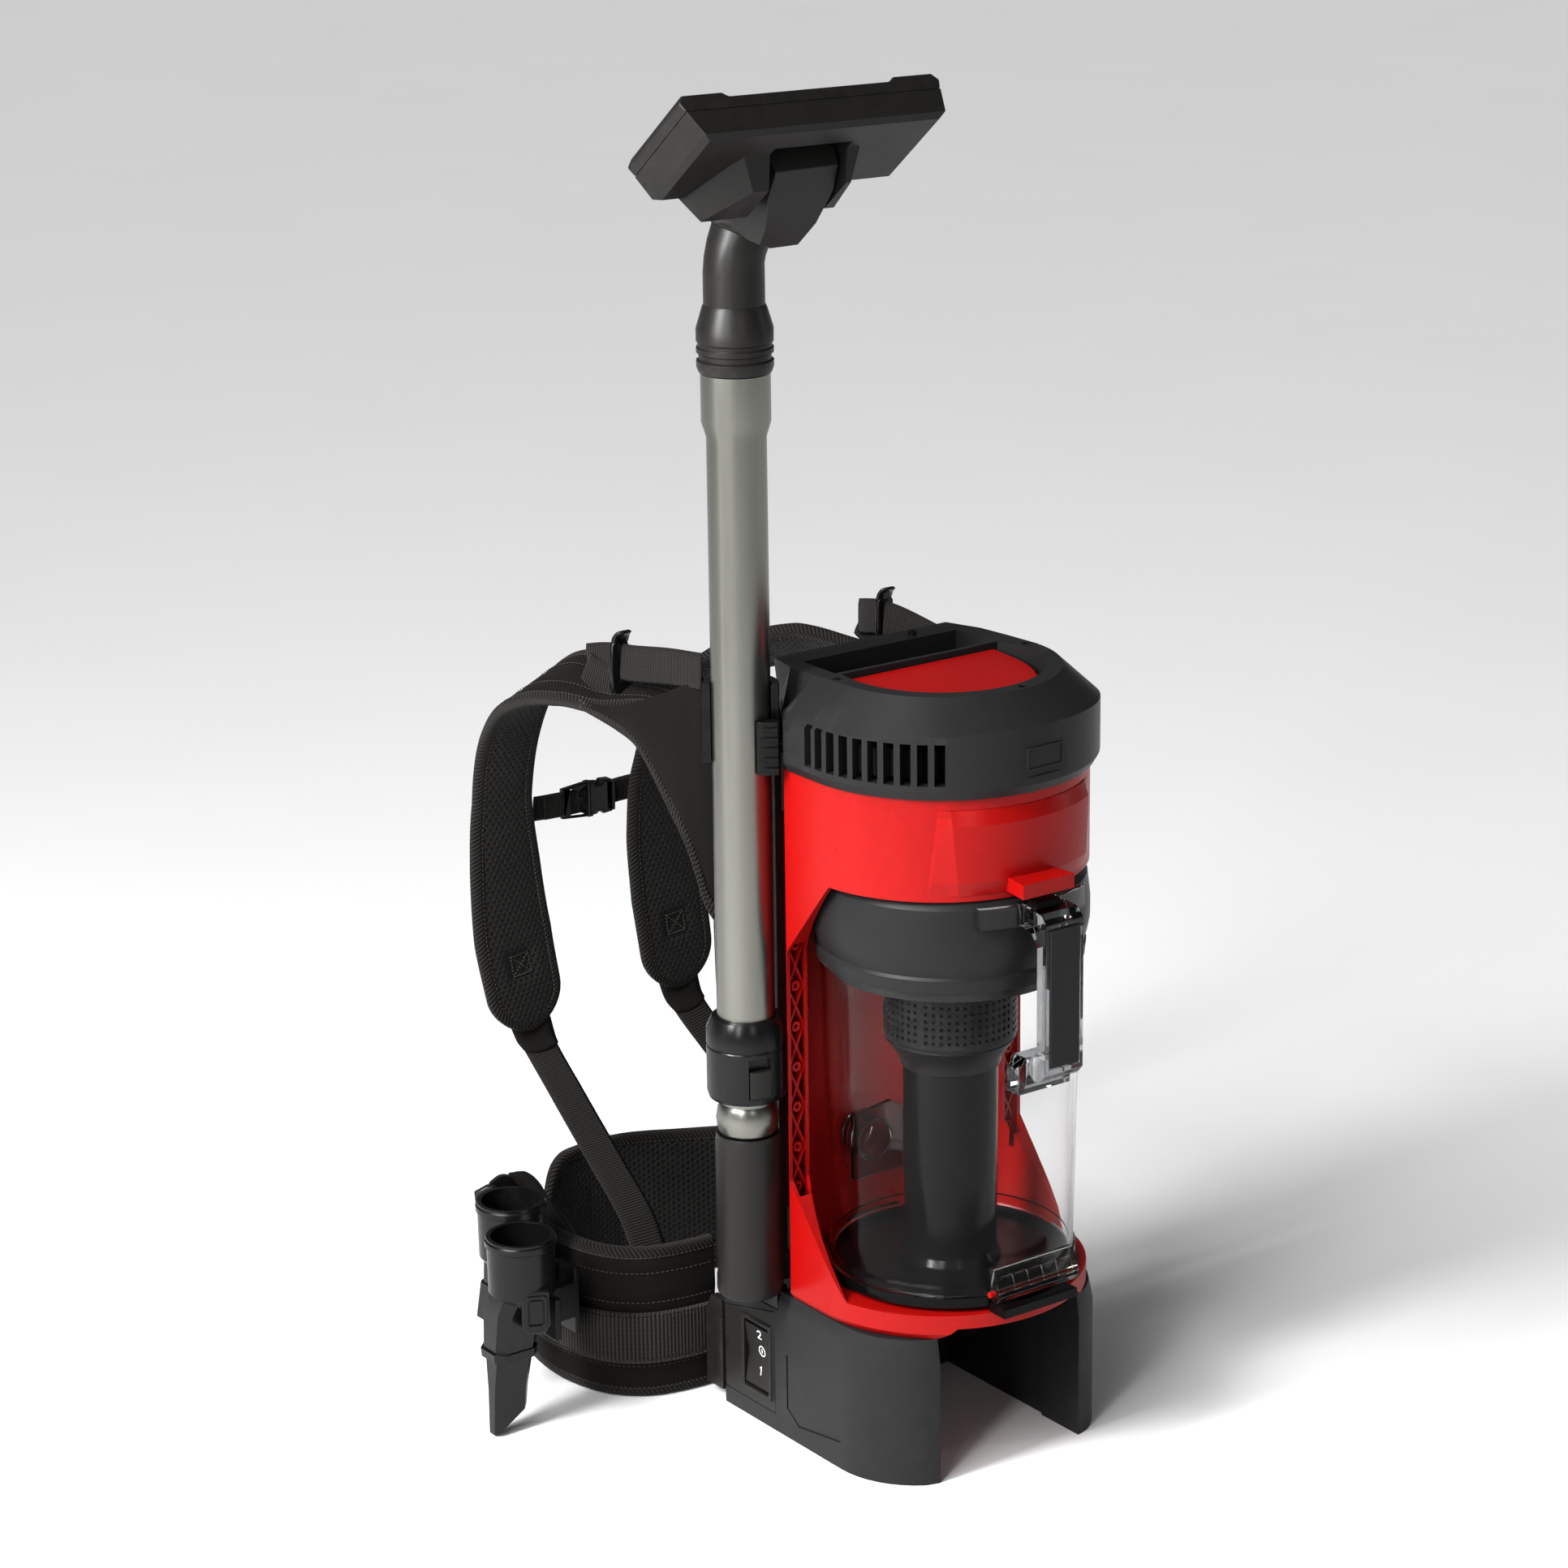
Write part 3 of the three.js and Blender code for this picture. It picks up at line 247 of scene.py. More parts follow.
def woven(name, color, pitch):
    """Plain pack cloth: over and under threads on a small grid."""
    m = Look(name)
    x, y, _ = axes_of(m, m.place(uv=True))
    a = m.math("SINE", m.times(x, math.tau / pitch))
    b = m.math("SINE", m.times(y, math.tau / pitch))
    over = m.spread(m.times(a, b), -1, 1)
    mottled = m.math("MULTIPLY_ADD", m.noise(m.place(uv=True), 700, 2), 0.5, m.times(over, 0.6))
    return cloth_look(m, color, mottled, 0.00018)


def ribbed(name, color, pitch, lean, depth):
    """Webbing or tape: ribs across the length, leaning when lean is not 0."""
    m = Look(name)
    x, y, _ = axes_of(m, m.place(uv=True))
    run = m.math("MULTIPLY_ADD", y, lean, x)
    rib = m.spread(m.math("SINE", m.times(run, math.tau / pitch)), -1, 1)
    weft = m.spread(m.math("SINE", m.times(y, math.tau / (pitch * 1.4))), -1, 1)
    mixed = m.math("MULTIPLY_ADD", weft, 0.15, m.times(rib, 0.85))
    return cloth_look(m, color, mixed, depth, 0.75, 0.06)


def air_mesh(name, color, pitch=0.0046):
    """Spacer mesh: rows of round holes, every other row shifted by half a pitch."""
    m = Look(name)
    x, y, _ = axes_of(m, m.place(uv=True))
    found = []
    for shift in (0.0, 0.5):
        dx = m.times(cell(m, x, pitch * 0.78 * 2, shift), 0.78 * 2)
        dy = cell(m, y, pitch, shift)
        found.append(m.math("SQRT", m.math("ADD", m.times(dx, dx), m.times(dy, dy))))
    near = m.math("MINIMUM", found[0], found[1])
    wall = m.spread(near, 0.2, 0.36)
    knit = m.noise(m.place(uv=True), 2600, 2)
    m.bump(m.math("MULTIPLY_ADD", knit, 0.15, wall), 0.0011, 1.0)
    p = m.place()
    tone = m.mix(m.spread(m.noise(p, 22, 3), 0.3, 0.7), shade(color, 0.85), shade(color, 1.3))
    # Painted shade: the holes are only a bump, and are coloured near black (0.12 of the colour) to stand in
    # for the shade inside them.
    m.color(m.mix(wall, shade(color, 0.12), tone))
    m.set(Roughness=0.7, Sheen_Weight=0.05, Specular_IOR_Level=0.25)
    return m.material


def grip_rubber(name, color):
    m = Look(name, color, 0.6)
    x, _, z = axes_of(m, m.place())
    a = m.math("SINE", m.times(m.math("ADD", x, z), math.tau / 0.0016))
    b = m.math("SINE", m.times(m.math("SUBTRACT", x, z), math.tau / 0.0016))
    knurl = m.spread(m.math("MAXIMUM", a, b), -0.2, 1)
    # Painted shade and highlight: the knurl's grooves are coloured darker (0.6) and its ridges lighter
    # (1.25), following the bump.
    m.color(m.mix(knurl, shade(color, 0.6), shade(color, 1.25)))
    m.bump(knurl, 0.00025, 0.9)
    m.set(Roughness=0.62, Specular_IOR_Level=0.4)
    return m.material


GREY, HEAD_GREY = (0.0205, 0.0205, 0.0215), (0.018, 0.018, 0.019)
BLACK, RED = (0.005, 0.0048, 0.0046), (0.305, 0.0038, 0.0031)
CLOTH = (0.0062, 0.0054, 0.0047)
LOOKS = {
    "base": moulded("base_plastic", GREY, 0.42, 0.00007, spec=0.2),
    "head": moulded("head_plastic", HEAD_GREY, 0.38, 0.00006, spec=0.22),
    "red": moulded("red_plastic", RED, 0.3, 0.00004, 1.2, 0.26),
    "black": moulded("black_plastic", BLACK, 0.27, 0.00003, 1.8, 0.24),
    "gloss": moulded("polished_black_plastic", (0.003, 0.003, 0.003), 0.16, 0.00001, 1.6, 0.14),
    "satin": moulded("satin_black_plastic", (0.0118, 0.011, 0.0101), 0.4, 0.00005, 1.9, 0.36),
    "sieve": moulded("sieve_plastic", (0.008, 0.008, 0.0083), 0.3, 0.00002, 1.6, 0.14),
    # Near black with almost no reflection: the own colour of the fan and terminal block, and painted shade on
    # the sheet inside the shroud.
    "dark": moulded("inner_black_plastic_and_shade", (0.003, 0.003, 0.003), 0.6, 0.00005, 1.2, 0.05),
    "print": moulded("white_print", (0.85, 0.85, 0.85), 0.5, 0.00002, 1.0),
    "tool": moulded("tool_plastic", (0.0055, 0.0055, 0.0056), 0.26, 0.00004, 1.7, 0.34),
    "tube": brushed_metal("drawn_aluminium", (0.25, 0.25, 0.227), 0.31),
    "steel": brushed_metal("plated_steel", (0.05, 0.05, 0.05), 0.35),
    "clear": clear_plastic("clear_bin", (0.988, 0.99, 0.99), 0.0, 0.01, 1.15, 0.12),
    "smoke": clear_plastic("smoked_plastic", (0.4, 0.41, 0.42), 0.02, 0.05, 1.42),
    "latch": clear_plastic("latch_plastic", (0.42, 0.44, 0.41), 0.08, 0.1, 1.45),
    "cloth": woven("pack_cloth", CLOTH, 0.0016),
    "mesh": air_mesh("air_mesh", (0.0105, 0.0093, 0.0081)),
    "web": ribbed("webbing", (0.0125, 0.0113, 0.0102), 0.0021, 0.0, 0.0005),
    "band": ribbed("belt_band", (0.0205, 0.0185, 0.0165), 0.0024, 0.0, 0.0006),
    "tape": ribbed("binding_tape", (0.0125, 0.0112, 0.01), 0.003, 1.0, 0.0007),
    "thread": ribbed("thread", (0.05, 0.045, 0.041), 0.0006, 0.5, 0.0001),
    "grip": grip_rubber("grip_rubber", (0.012, 0.012, 0.0125)),
    "foam": moulded("filter_foam", (0.01, 0.01, 0.01), 0.9, 0.0006, 1.0, 0.1),
}


# ------------------------------------------------------------------ mesh helpers
def new_piece(name, mesh, look, slot, *replaced, body="machine"):
    for k in look if isinstance(look, (list, tuple)) else [look]:
        mesh.materials.append(LOOKS[k])
    obj = linked(name, mesh)
    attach(obj, body)
    if replaced:
        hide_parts(*replaced)
    return obj


def tube_faces(rings, n, first=0):
    """Sides and end caps of a tube of rings with n points each, numbered from first."""
    ring = [[first + i * n + j for j in range(n)] for i in range(rings)]
    sides = [(a[j], a[(j + 1) % n], b[(j + 1) % n], b[j]) for a, b in zip(ring, ring[1:]) for j in range(n)]
    return sides + [ring[0][::-1], ring[-1]]


def build(name, verts, faces, uv=None, slots=None):
    mesh = bpy.data.meshes.new(name)
    mesh.from_pydata([tuple(v) for v in verts], [], [tuple(f) for f in faces])
    if uv is not None:
        layer = mesh.uv_layers.new(name="UVMap")
        for poly in mesh.polygons:
            for loop in poly.loop_indices:
                layer.data[loop].uv = uv[mesh.loops[loop].vertex_index]
    if slots is not None:
        mesh.polygons.foreach_set("material_index", slots)
    mesh.polygons.foreach_set("use_smooth", [True] * len(mesh.polygons))
    mesh.update()
    return mesh


def sharpen(mesh, degrees):
    mesh.set_sharp_from_angle(angle=math.radians(degrees))


def bare(mesh):
    """The mesh without its materials, with each face's slot number kept."""
    slots = [0] * len(mesh.polygons)
    mesh.polygons.foreach_get("material_index", slots)
    mesh.materials.clear()
    mesh.polygons.foreach_set("material_index", slots)
    return mesh


def frozen(obj):
    """The final mesh of an object, which is then removed."""
    graph = bpy.context.evaluated_depsgraph_get()
    made = bpy.data.meshes.new_from_object(obj.evaluated_get(graph), depsgraph=graph)
    bpy.data.objects.remove(obj)
    return made


def evaluated(mesh, *modifiers):
    """The mesh after these modifiers, each (type, settings)."""
    obj = linked("work", mesh)
    for kind, settings in modifiers:
        mod = obj.modifiers.new(kind, kind)
        for k, v in settings.items():
            setattr(mod, k, v)
    return frozen(obj)


def rounded(mesh, width, segments):
    """The mesh with its sharp edges rounded to this width, shaded smooth between them."""
    bm = bmesh.new()
    bm.from_mesh(mesh)
    bmesh.ops.remove_doubles(bm, verts=bm.verts, dist=3e-6)
    bmesh.ops.dissolve_limit(bm, angle_limit=math.radians(1.2), verts=bm.verts, edges=bm.edges)
    bmesh.ops.recalc_face_normals(bm, faces=bm.faces)
    for f in bm.faces:
        f.smooth = True
    bm.to_mesh(mesh)
    bm.free()
    if "custom_normal" in mesh.attributes:
        mesh.attributes.remove(mesh.attributes["custom_normal"])
    sharpen(mesh, SHARP + 12)
    bevel = dict(width=width, segments=segments, limit_method="ANGLE", angle_limit=math.radians(SHARP),
                 miter_outer="MITER_ARC", use_clamp_overlap=True)
    return evaluated(mesh, ("BEVEL", bevel), ("WEIGHTED_NORMAL", dict(keep_sharp=True, weight=60)))


def refine(node, look, width, segments):
    """A finer stand-in for a hard CAD node: rounded edges and smooth shading."""
    source = frame["nodes"][node]
    mesh = source.data.copy()
    mesh.materials.clear()
    made = rounded(mesh, width * MM, segments)
    return new_piece(node + "_shell", made, look, SLOT_OF[node], node, body=source["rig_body"])


def lathe(profile, centre, turns=64):
    """Closed solid of revolution: profile is a loop of (radius, height) in millimetres."""
    verts, faces = [], []
    n = len(profile)
    for i in range(turns):
        a = math.tau * i / turns
        verts += [at(centre[0] + r * math.cos(a), centre[1] + r * math.sin(a), z) for r, z in profile]
    for i in range(turns):
        for k in range(n):
            a, b = i * n + k, i * n + (k + 1) % n
            c, d = ((i + 1) % turns) * n + (k + 1) % n, ((i + 1) % turns) * n + k
            faces.append((a, d, c, b))
    return build("lathe", verts, faces)


def plate(outlines, thick, matrix, edge=0.5):
    """Flat plate with rounded edges: outlines in millimetres, the first is outer, the rest are holes."""
    data = bpy.data.curves.new("plate", "CURVE")
    data.dimensions, data.fill_mode = "2D", "BOTH"
    data.extrude = max(thick / 2 - edge, 0.05) * MM
    data.bevel_depth, data.bevel_resolution, data.offset = edge * MM, 2, -edge * MM
    for points in outlines:
        spline = data.splines.new("POLY")
        spline.points.add(len(points) - 1)
        for p, (x, y) in zip(spline.points, points):
            p.co = (x * MM, y * MM, 0, 1)
        spline.use_cyclic_u = True
    mesh = frozen(linked("plate", data))
    mesh.materials.clear()
    mesh.transform(matrix)
    mesh.polygons.foreach_set("use_smooth", [True] * len(mesh.polygons))
    sharpen(mesh, 40)
    return mesh


def joined(meshes):
    bm = bmesh.new()
    for m in meshes:
        bm.from_mesh(m)
    made = bpy.data.meshes.new("joined")
    bm.to_mesh(made)
    bm.free()
    return made


def basis(origin, right, up):
    """Matrix with local X along right, local Y along up."""
    x = Vector(right).normalized()
    z = x.cross(Vector(up)).normalized()
    y = z.cross(x)
    m = Matrix((x, y, z)).transposed().to_4x4()
    m.translation = origin
    return m


def round_rect(w, h, r, n=4):
    pts = []
    for turn, (sx, sy) in enumerate(((1, 1), (-1, 1), (-1, -1), (1, -1))):
        for k in range(n + 1):
            a = math.radians(90 * turn + 90 * k / n)
            pts.append((sx * (w - r) + r * math.cos(a), sy * (h - r) + r * math.sin(a)))
    return pts


# ------------------------------------------------------------------ soft strips
def smooth_path(points, per=16):
    """Centripetal Catmull-Rom through the points: places and the station number of each."""
    p = np.array(points, float)
    p = np.vstack([2 * p[0] - p[1], p, 2 * p[-1] - p[-2]])
    out, number = [], []
    for i in range(1, len(p) - 2):
        a, b, c, d = p[i - 1:i + 3]
        t = np.cumsum([0, *[max(np.linalg.norm(q - r), 1e-9) ** 0.5 for q, r in ((b, a), (c, b), (d, c))]])
        for k in range(per):
            f = k / per
            s = t[1] + (t[2] - t[1]) * f

            def between(i, j, low, high):
                return (t[j] - s) / (t[j] - t[i]) * low + (s - t[i]) / (t[j] - t[i]) * high

            a1, a2, a3 = between(0, 1, a, b), between(1, 2, b, c), between(2, 3, c, d)
            out.append(between(1, 2, between(0, 2, a1, a2), between(1, 3, a2, a3)))
            number.append(i - 1 + f)
    out.append(p[-2])
    number.append(len(points) - 1)
    return np.array(out), np.array(number)


def unit(v):
    return v / np.maximum(np.linalg.norm(v, axis=-1, keepdims=True), 1e-12)


def lengths(points):
    """Length along the points, at each point."""
    return np.concatenate([[0], np.cumsum(np.linalg.norm(np.diff(points, axis=0), axis=1))])


def sampled(want, known, points):
    """Points interpolated at the wanted values of a known one."""
    return np.stack([np.interp(want, known, points[:, k]) for k in range(3)], 1)


class Strip:
    """Rings along a smooth path. Stations: (x, y, z, across, half width, half thickness), millimetres."""

    def __init__(self, stations, rings, offset=0.0, tip=(0.0, 0.0), power=4):
        self.power = power
        pts, number = smooth_path([s[:3] for s in stations])
        run = lengths(pts)
        ease = lambda size: size * (1 - np.cos(np.linspace(0, math.pi / 2, 12)[:-1])) if size else np.zeros(0)
        want = np.concatenate([ease(tip[0]), np.linspace(tip[0], run[-1] - tip[1], rings),
                               run[-1] - ease(tip[1])[::-1]])
        self.c = sampled(want, run, pts)
        at_station = np.interp(want, run, number)
        index = np.arange(len(stations))
        across = sampled(at_station, index, np.array([s[3] for s in stations], float))
        self.half = np.interp(at_station, index, [s[4] for s in stations])
        self.thick = np.interp(at_station, index, [s[5] for s in stations])
        along = unit(np.gradient(self.c, axis=0))
        self.n = unit(np.cross(along, across))
        self.w = unit(np.cross(self.n, along))
        self.c = self.c + self.n * offset
        self.run = want
        self.u = want / run[-1]
        for end, size in ((0, tip[0]), (1, tip[1])):
            if size > 0:
                d = (want if end == 0 else run[-1] - want) / size
                round_off = np.sqrt(np.clip(1 - (1 - np.clip(d, 0, 1)) ** 2, 0.002, 1))
                self.half = self.half * round_off
                self.thick = self.thick * (0.45 + 0.55 * round_off)

    def point(self, i, w, height=0.0):
        return self.c[i] + self.w[i] * (self.half[i] * w) + self.n[i] * height

    def solid(self, columns=14, power=5, relief=None, side_slots=(0, 0), panel=2.0):
        """Closed mesh. relief(run, across, side) lifts the faces, in millimetres."""
        cols = np.linspace(-1, 1, columns + 1)
        cols = np.sign(cols) * np.abs(cols) ** 0.9
        section = [(w, 1) for w in cols] + [(w, -1) for w in cols[::-1][1:-1]]
        verts, uv, slots = [], [], []
        for i in range(len(self.c)):
            for w, side in section:
                rise = self.thick[i] * max(1 - abs(w) ** power, 0) ** 0.5
                if relief:
                    rise = max(rise + relief(self.run[i], w * self.half[i], side) * min(1, rise / 3), 0.3)
                verts.append(at(*self.point(i, w, side * rise)))
                uv.append((self.run[i] * MM, w * self.half[i] * MM))
        for (w0, s0), (w1, s1) in zip(section, section[1:] + section[:1]):
            shown = s0 + s1 > 0 and abs(w0 + w1) / 2 < panel
            slots.append(side_slots[0 if shown else 1])
        slots = slots * (len(self.c) - 1) + [side_slots[1]] * 2
        mesh = build("strip", verts, tube_faces(len(self.c), len(section)), uv, slots)
        bm = bmesh.new()
        bm.from_mesh(mesh)
        bmesh.ops.recalc_face_normals(bm, faces=bm.faces)
        bm.to_mesh(mesh)
        bm.free()
        return mesh, section

    def edge(self, inset):
        """Outline: along one long side and back along the other, with face directions and thicknesses."""
        reach = self.w * np.maximum(self.half - inset, 0.2)[:, None]
        pairs = ((self.c + reach, self.c - reach), (self.n, self.n), (self.thick, self.thick))
        return [np.concatenate([there, back[::-1]]) for there, back in pairs]


class Web(Strip):
    """Panel ruled between two rails of points, millimetres."""

    def __init__(self, low, high, rings, thick, power=6):
        self.power = power
        lo, hi = (resample(smooth_path(rail)[0], 0.5) for rail in (low, high))
        index = np.linspace(0, 1, rings)
        lo, hi = (sampled(index, np.linspace(0, 1, len(r)), r) for r in (lo, hi))
        self.low, self.c = lo, (lo + hi) / 2
        self.w = unit(hi - lo)
        self.half = np.linalg.norm(hi - lo, axis=1) / 2
        self.thick = np.full(rings, thick)
        self.n = unit(np.cross(np.gradient(self.c, axis=0), self.w))
        self.run = lengths(self.c)


def sweep(points, face, wide, high, sides, squash=2.6):
    """A soft rounded section carried along points; wide lies in the sheet, high along face."""
    pts = np.array(points, float)
    n = len(pts)
    run = lengths(pts)
    along = unit(np.gradient(pts, axis=0))
    out = unit(np.cross(along, face))
    up = unit(np.cross(out, along))
    wide = np.broadcast_to(wide, n)
    high = np.broadcast_to(high, n)
    verts, uv = [], []
    for i in range(n):
        for j in range(sides):
            a = math.tau * j / sides
            ca, sa = math.cos(a), math.sin(a)
            x = math.copysign(abs(ca) ** (2 / squash), ca) * wide[i]
            y = math.copysign(abs(sa) ** (2 / squash), sa) * high[i]
            verts.append(at(*(pts[i] + out[i] * x + up[i] * y)))
            uv.append((run[i] * MM, j / sides * 2 * (wide[i] + high[i]) * MM))
    return build("sweep", verts, tube_faces(n, sides), uv)


def resample(points, step, *others):
    pts = np.array(points, float)
    run = lengths(pts)
    want = np.linspace(0, run[-1], max(int(run[-1] / step), 2))
    out = [sampled(want, run, a) for a in (pts, *map(np.array, others))]
    return out if others else out[0]


def stitches(points, face, step=3.4, length=2.3, lift=0.0, radius=0.34):
    """Row of short thread stitches lying on a surface."""
    pts, up = resample(points, step, face)
    along = unit(np.gradient(pts, axis=0))
    up = unit(up)
    verts, faces, uv = [], [], []
    for p, t, u in zip(pts, along, up):
        side = np.cross(t, u)
        base = len(verts)
        for s, k in ((-0.5, 0.35), (-0.25, 1), (0.25, 1), (0.5, 0.35)):
            for a in range(5):
                ang = math.tau * a / 5
                d = (side * math.cos(ang) + u * math.sin(ang)) * radius * k
                verts.append(at(*(p + u * lift + t * s * length + d)))
                uv.append((s * length * MM, a / 5 * 0.002))
        faces += tube_faces(4, 5, base)
    return build("stitches", verts, faces, uv)


def puffed(mesh, pinned, pressure=4.0, frames=14, cap=3.0):
    """Cloth under inner pressure, held at the pinned points; no point moves further than cap millimetres."""
    obj = linked("puff", mesh)
    group = obj.vertex_groups.new(name="pin")
    for i, weight in enumerate(pinned):
        if weight > 0:
            group.add([i], float(weight), "REPLACE")
    mod = obj.modifiers.new("puff", "CLOTH")
    s = mod.settings
    s.quality, s.mass = 5, 0.3
    s.tension_stiffness = s.compression_stiffness = 12
    s.shear_stiffness, s.bending_stiffness = 6, 0.4
    s.use_pressure, s.uniform_pressure_force = True, pressure
    s.vertex_group_mass = "pin"
    s.effector_weights.gravity = 0
    mod.point_cache.frame_start, mod.point_cache.frame_end = 1, frames
    scene = bpy.context.scene
    for f in range(1, frames + 1):
        scene.frame_set(f)
    graph = bpy.context.evaluated_depsgraph_get()
    shaped = obj.evaluated_get(graph).to_mesh()
    new = np.array([v.co for v in shaped.vertices])
    old = np.array([v.co for v in mesh.vertices])
    move = new - old
    size = np.linalg.norm(move, axis=1, keepdims=True)
    move *= np.minimum(1, cap * MM / np.maximum(size, 1e-9))
    mesh.vertices.foreach_set("co", (old + move).ravel())
    mesh.update()
    bpy.data.objects.remove(obj)
    scene.frame_set(1)
    return mesh


def pad(name, strip, sides, relief, held, pressure, cap, columns):
    """Padded piece of fabric: a closed grid, swelled by cloth simulation between its sewn lines."""
    mesh, section = strip.solid(columns, strip.power, relief, sides, 0.86)
    pins = []
    for i in range(len(strip.c)):
        for w, side in section:
            sewn = abs(w) > 0.86 or min(strip.run[i], strip.run[-1] - strip.run[i]) < 5
            pins.append(1.0 if sewn or (held and held(strip.run[i], w * strip.half[i], side)) else 0.0)
    puffed(mesh, pins, pressure, 14, cap)
    made = bare(evaluated(mesh, ("SUBSURF", dict(levels=1, render_levels=1))))
    obj = new_piece(name + "_soft", made, ["cloth", "mesh", "foam"], "pad_fabric", name)
    return obj


def binding(name, strip, half, inset, proud=0.7):
    """Tape folded round a strip's edge, with a row of stitches along it on each face."""
    pts, face, thick = strip.edge(inset)
    pts, face, thick = resample(pts, 2.2, face, np.repeat(thick[:, None], 3, 1))
    depth = np.minimum(thick[:, 0] * 0.72 + proud, 5.8)
    new_piece(name + "_binding", sweep(pts, face, half, depth, 12), "tape", "webbing")
    inner = unit(np.cross(unit(np.gradient(pts, axis=0)), face))
    if np.sum((strip.c.mean(0) - pts) * inner) < 0:
        inner = -inner
    line, lift = pts + inner * half * 0.45, unit(face) * depth[:, None] * 0.96
    rows = [stitches(line + lift * side, face * side, 3.2, 2.1) for side in (-1, 1)]
    new_piece(name + "_binding_stitch", joined(rows), "thread", "webbing")


def seam(name, strip, w, side, start, stop, slot="pad_fabric"):
    """A row of stitches along a strip, at one place across it, on one of its faces."""
    keep = [i for i in range(len(strip.c)) if start <= strip.u[i] <= stop]
    crown = max(1 - abs(w) ** strip.power, 0) ** 0.5
    pts = [strip.point(i, w, side * (strip.thick[i] * crown + 0.15)) for i in keep]
    new_piece(name, stitches(pts, strip.n[keep] * side, 3.4, 2.3), "thread", slot)


def band(name, strip, look, slot, *replaced):
    """A flat strap with rolled edges."""
    mesh, _ = strip.solid(6, strip.power, None, (0, 0), 2)
    new_piece(name, mesh, look, slot, *replaced)


# ------------------------------------------------------------------ stage
def make_stage():
    corners = [(-20, -20, 0), (20, -20, 0), (20, 20, 0), (-20, 20, 0)]
    floor = linked("floor", build("floor", corners, [(0, 1, 2, 3)]))
    look = Look("studio_floor", (0.8, 0.8, 0.8), 0.8)
    p = look.place()
    look.color(look.mix(look.noise(p, 3, 3), (0.8, 0.8, 0.8), (0.83, 0.83, 0.83)))
    look.bump(look.noise(p, 900, 2), 0.0001, 0.2)
    floor.data.materials.append(look.material)
    world = bpy.data.worlds.new("studio")
    world.use_nodes = True
    glow = world.node_tree.nodes["Background"].inputs
    glow["Color"].default_value, glow["Strength"].default_value = (0.96, 0.97, 1.0, 1), 0.12
    bpy.context.scene.world = world
    sun = linked("sun", bpy.data.lights.new("sun", "SUN"))
    sun.data.energy, sun.data.angle = 2.6, math.radians(40)
    face_along(sun, Vector((0.8, 0.12, -1)))
    area_light("key", (-1.5, -0.15, 1.3), (0, 0, 0.85), (0.3, 0.9), 46)
    area_light("left", (-2.4, -1.5, 1.5), (0, 0, 0.5), (0.35, 1.6), 30)
    area_light("front", (-0.8, -3.0, 1.6), (0, 0, 0.4), (0.5, 1.4), 8)
    area_light("strip", (-1.25, 0.25, 0.48), (0, 0, 0.48), (0.22, 0.94), 0.6)
    area_light("side", (2.5, -1.2, 1.3), (0, 0, 0.4), (0.3, 1.6), 4)


# ------------------------------------------------------------------ hard parts
SLOT_OF = {s["node"]: s["material_slot"] for s in frame["record"]["subparts"]}
SHARP = 28                                    # degrees past which an edge is rounded
HARD = [
    # node, look, edge radius, segments
    ("base_skirt", "base", 0.9, 2), ("switch_panel", "satin", 0.7, 2), ("power_rocker", "satin", 0.6, 3),
    ("terminal_block", "dark", 0.5, 1), ("red_frame", "red", 0.6, 2), ("motor_housing", "head", 0.8, 2),
    ("motor_cover", "red", 0.7, 2), ("canister_lid", "head", 0.6, 2), ("intake_tube", "gloss", 0.4, 2),
    ("bottom_door", "gloss", 0.6, 2), ("handle_insert", "grip", 0.8, 3),
    ("release_button", "black", 0.5, 2), ("wand_peg", "tool", 1.0, 2), ("wand_bracket", "black", 0.8, 2),
    ("clip_jaw", "black", 0.5, 2), ("tube_cuff", "satin", 0.6, 2), ("lock_collar", "tool", 0.8, 2),
    ("collar_slider", "satin", 0.5, 2), ("tool_neck", "satin", 0.9, 2), ("tool_yoke", "satin", 2.4, 4),
    ("floor_head", "satin", 3.0, 4), ("sole_plate", "satin", 1.2, 3),
    ("harness_bracket", "satin", 1.0, 2), ("harness_frame", "satin", 1.2, 2),
    ("tool_holder", "black", 0.8, 2), ("crevice_tool", "tool", 0.8, 2), ("dusting_tool", "tool", 0.7, 2),
    ("canister_handle", "smoke", 0.7, 2), ("door_latch", "latch", 0.5, 2),
    ("inlet_port", "smoke", 0.5, 2), ("inner_tube", "tube", 0.3, 1), ("outer_tube", "tube", 0.3, 1),
    ("canister_bin", "clear", 0.5, 2), ("belt_buckle", "satin", 1.2, 2),
]
KEPT = {**{f"housing_screw_{k}": "steel" for k in (1, 2, 3, 4)}, "suction_motor": "steel",
        "fan_impeller": "dark", "latch_pin": "red", "exhaust_filter": "foam"}


def make_hard_parts():
    for node, look, width, segments in HARD:
        obj = refine(node, look, width, segments)
        obj.visible_shadow = look != "clear"
    for node, look in KEPT.items():
        obj = frame["nodes"][node]
        obj.data.materials.clear()
        obj.data.materials.append(LOOKS[look])


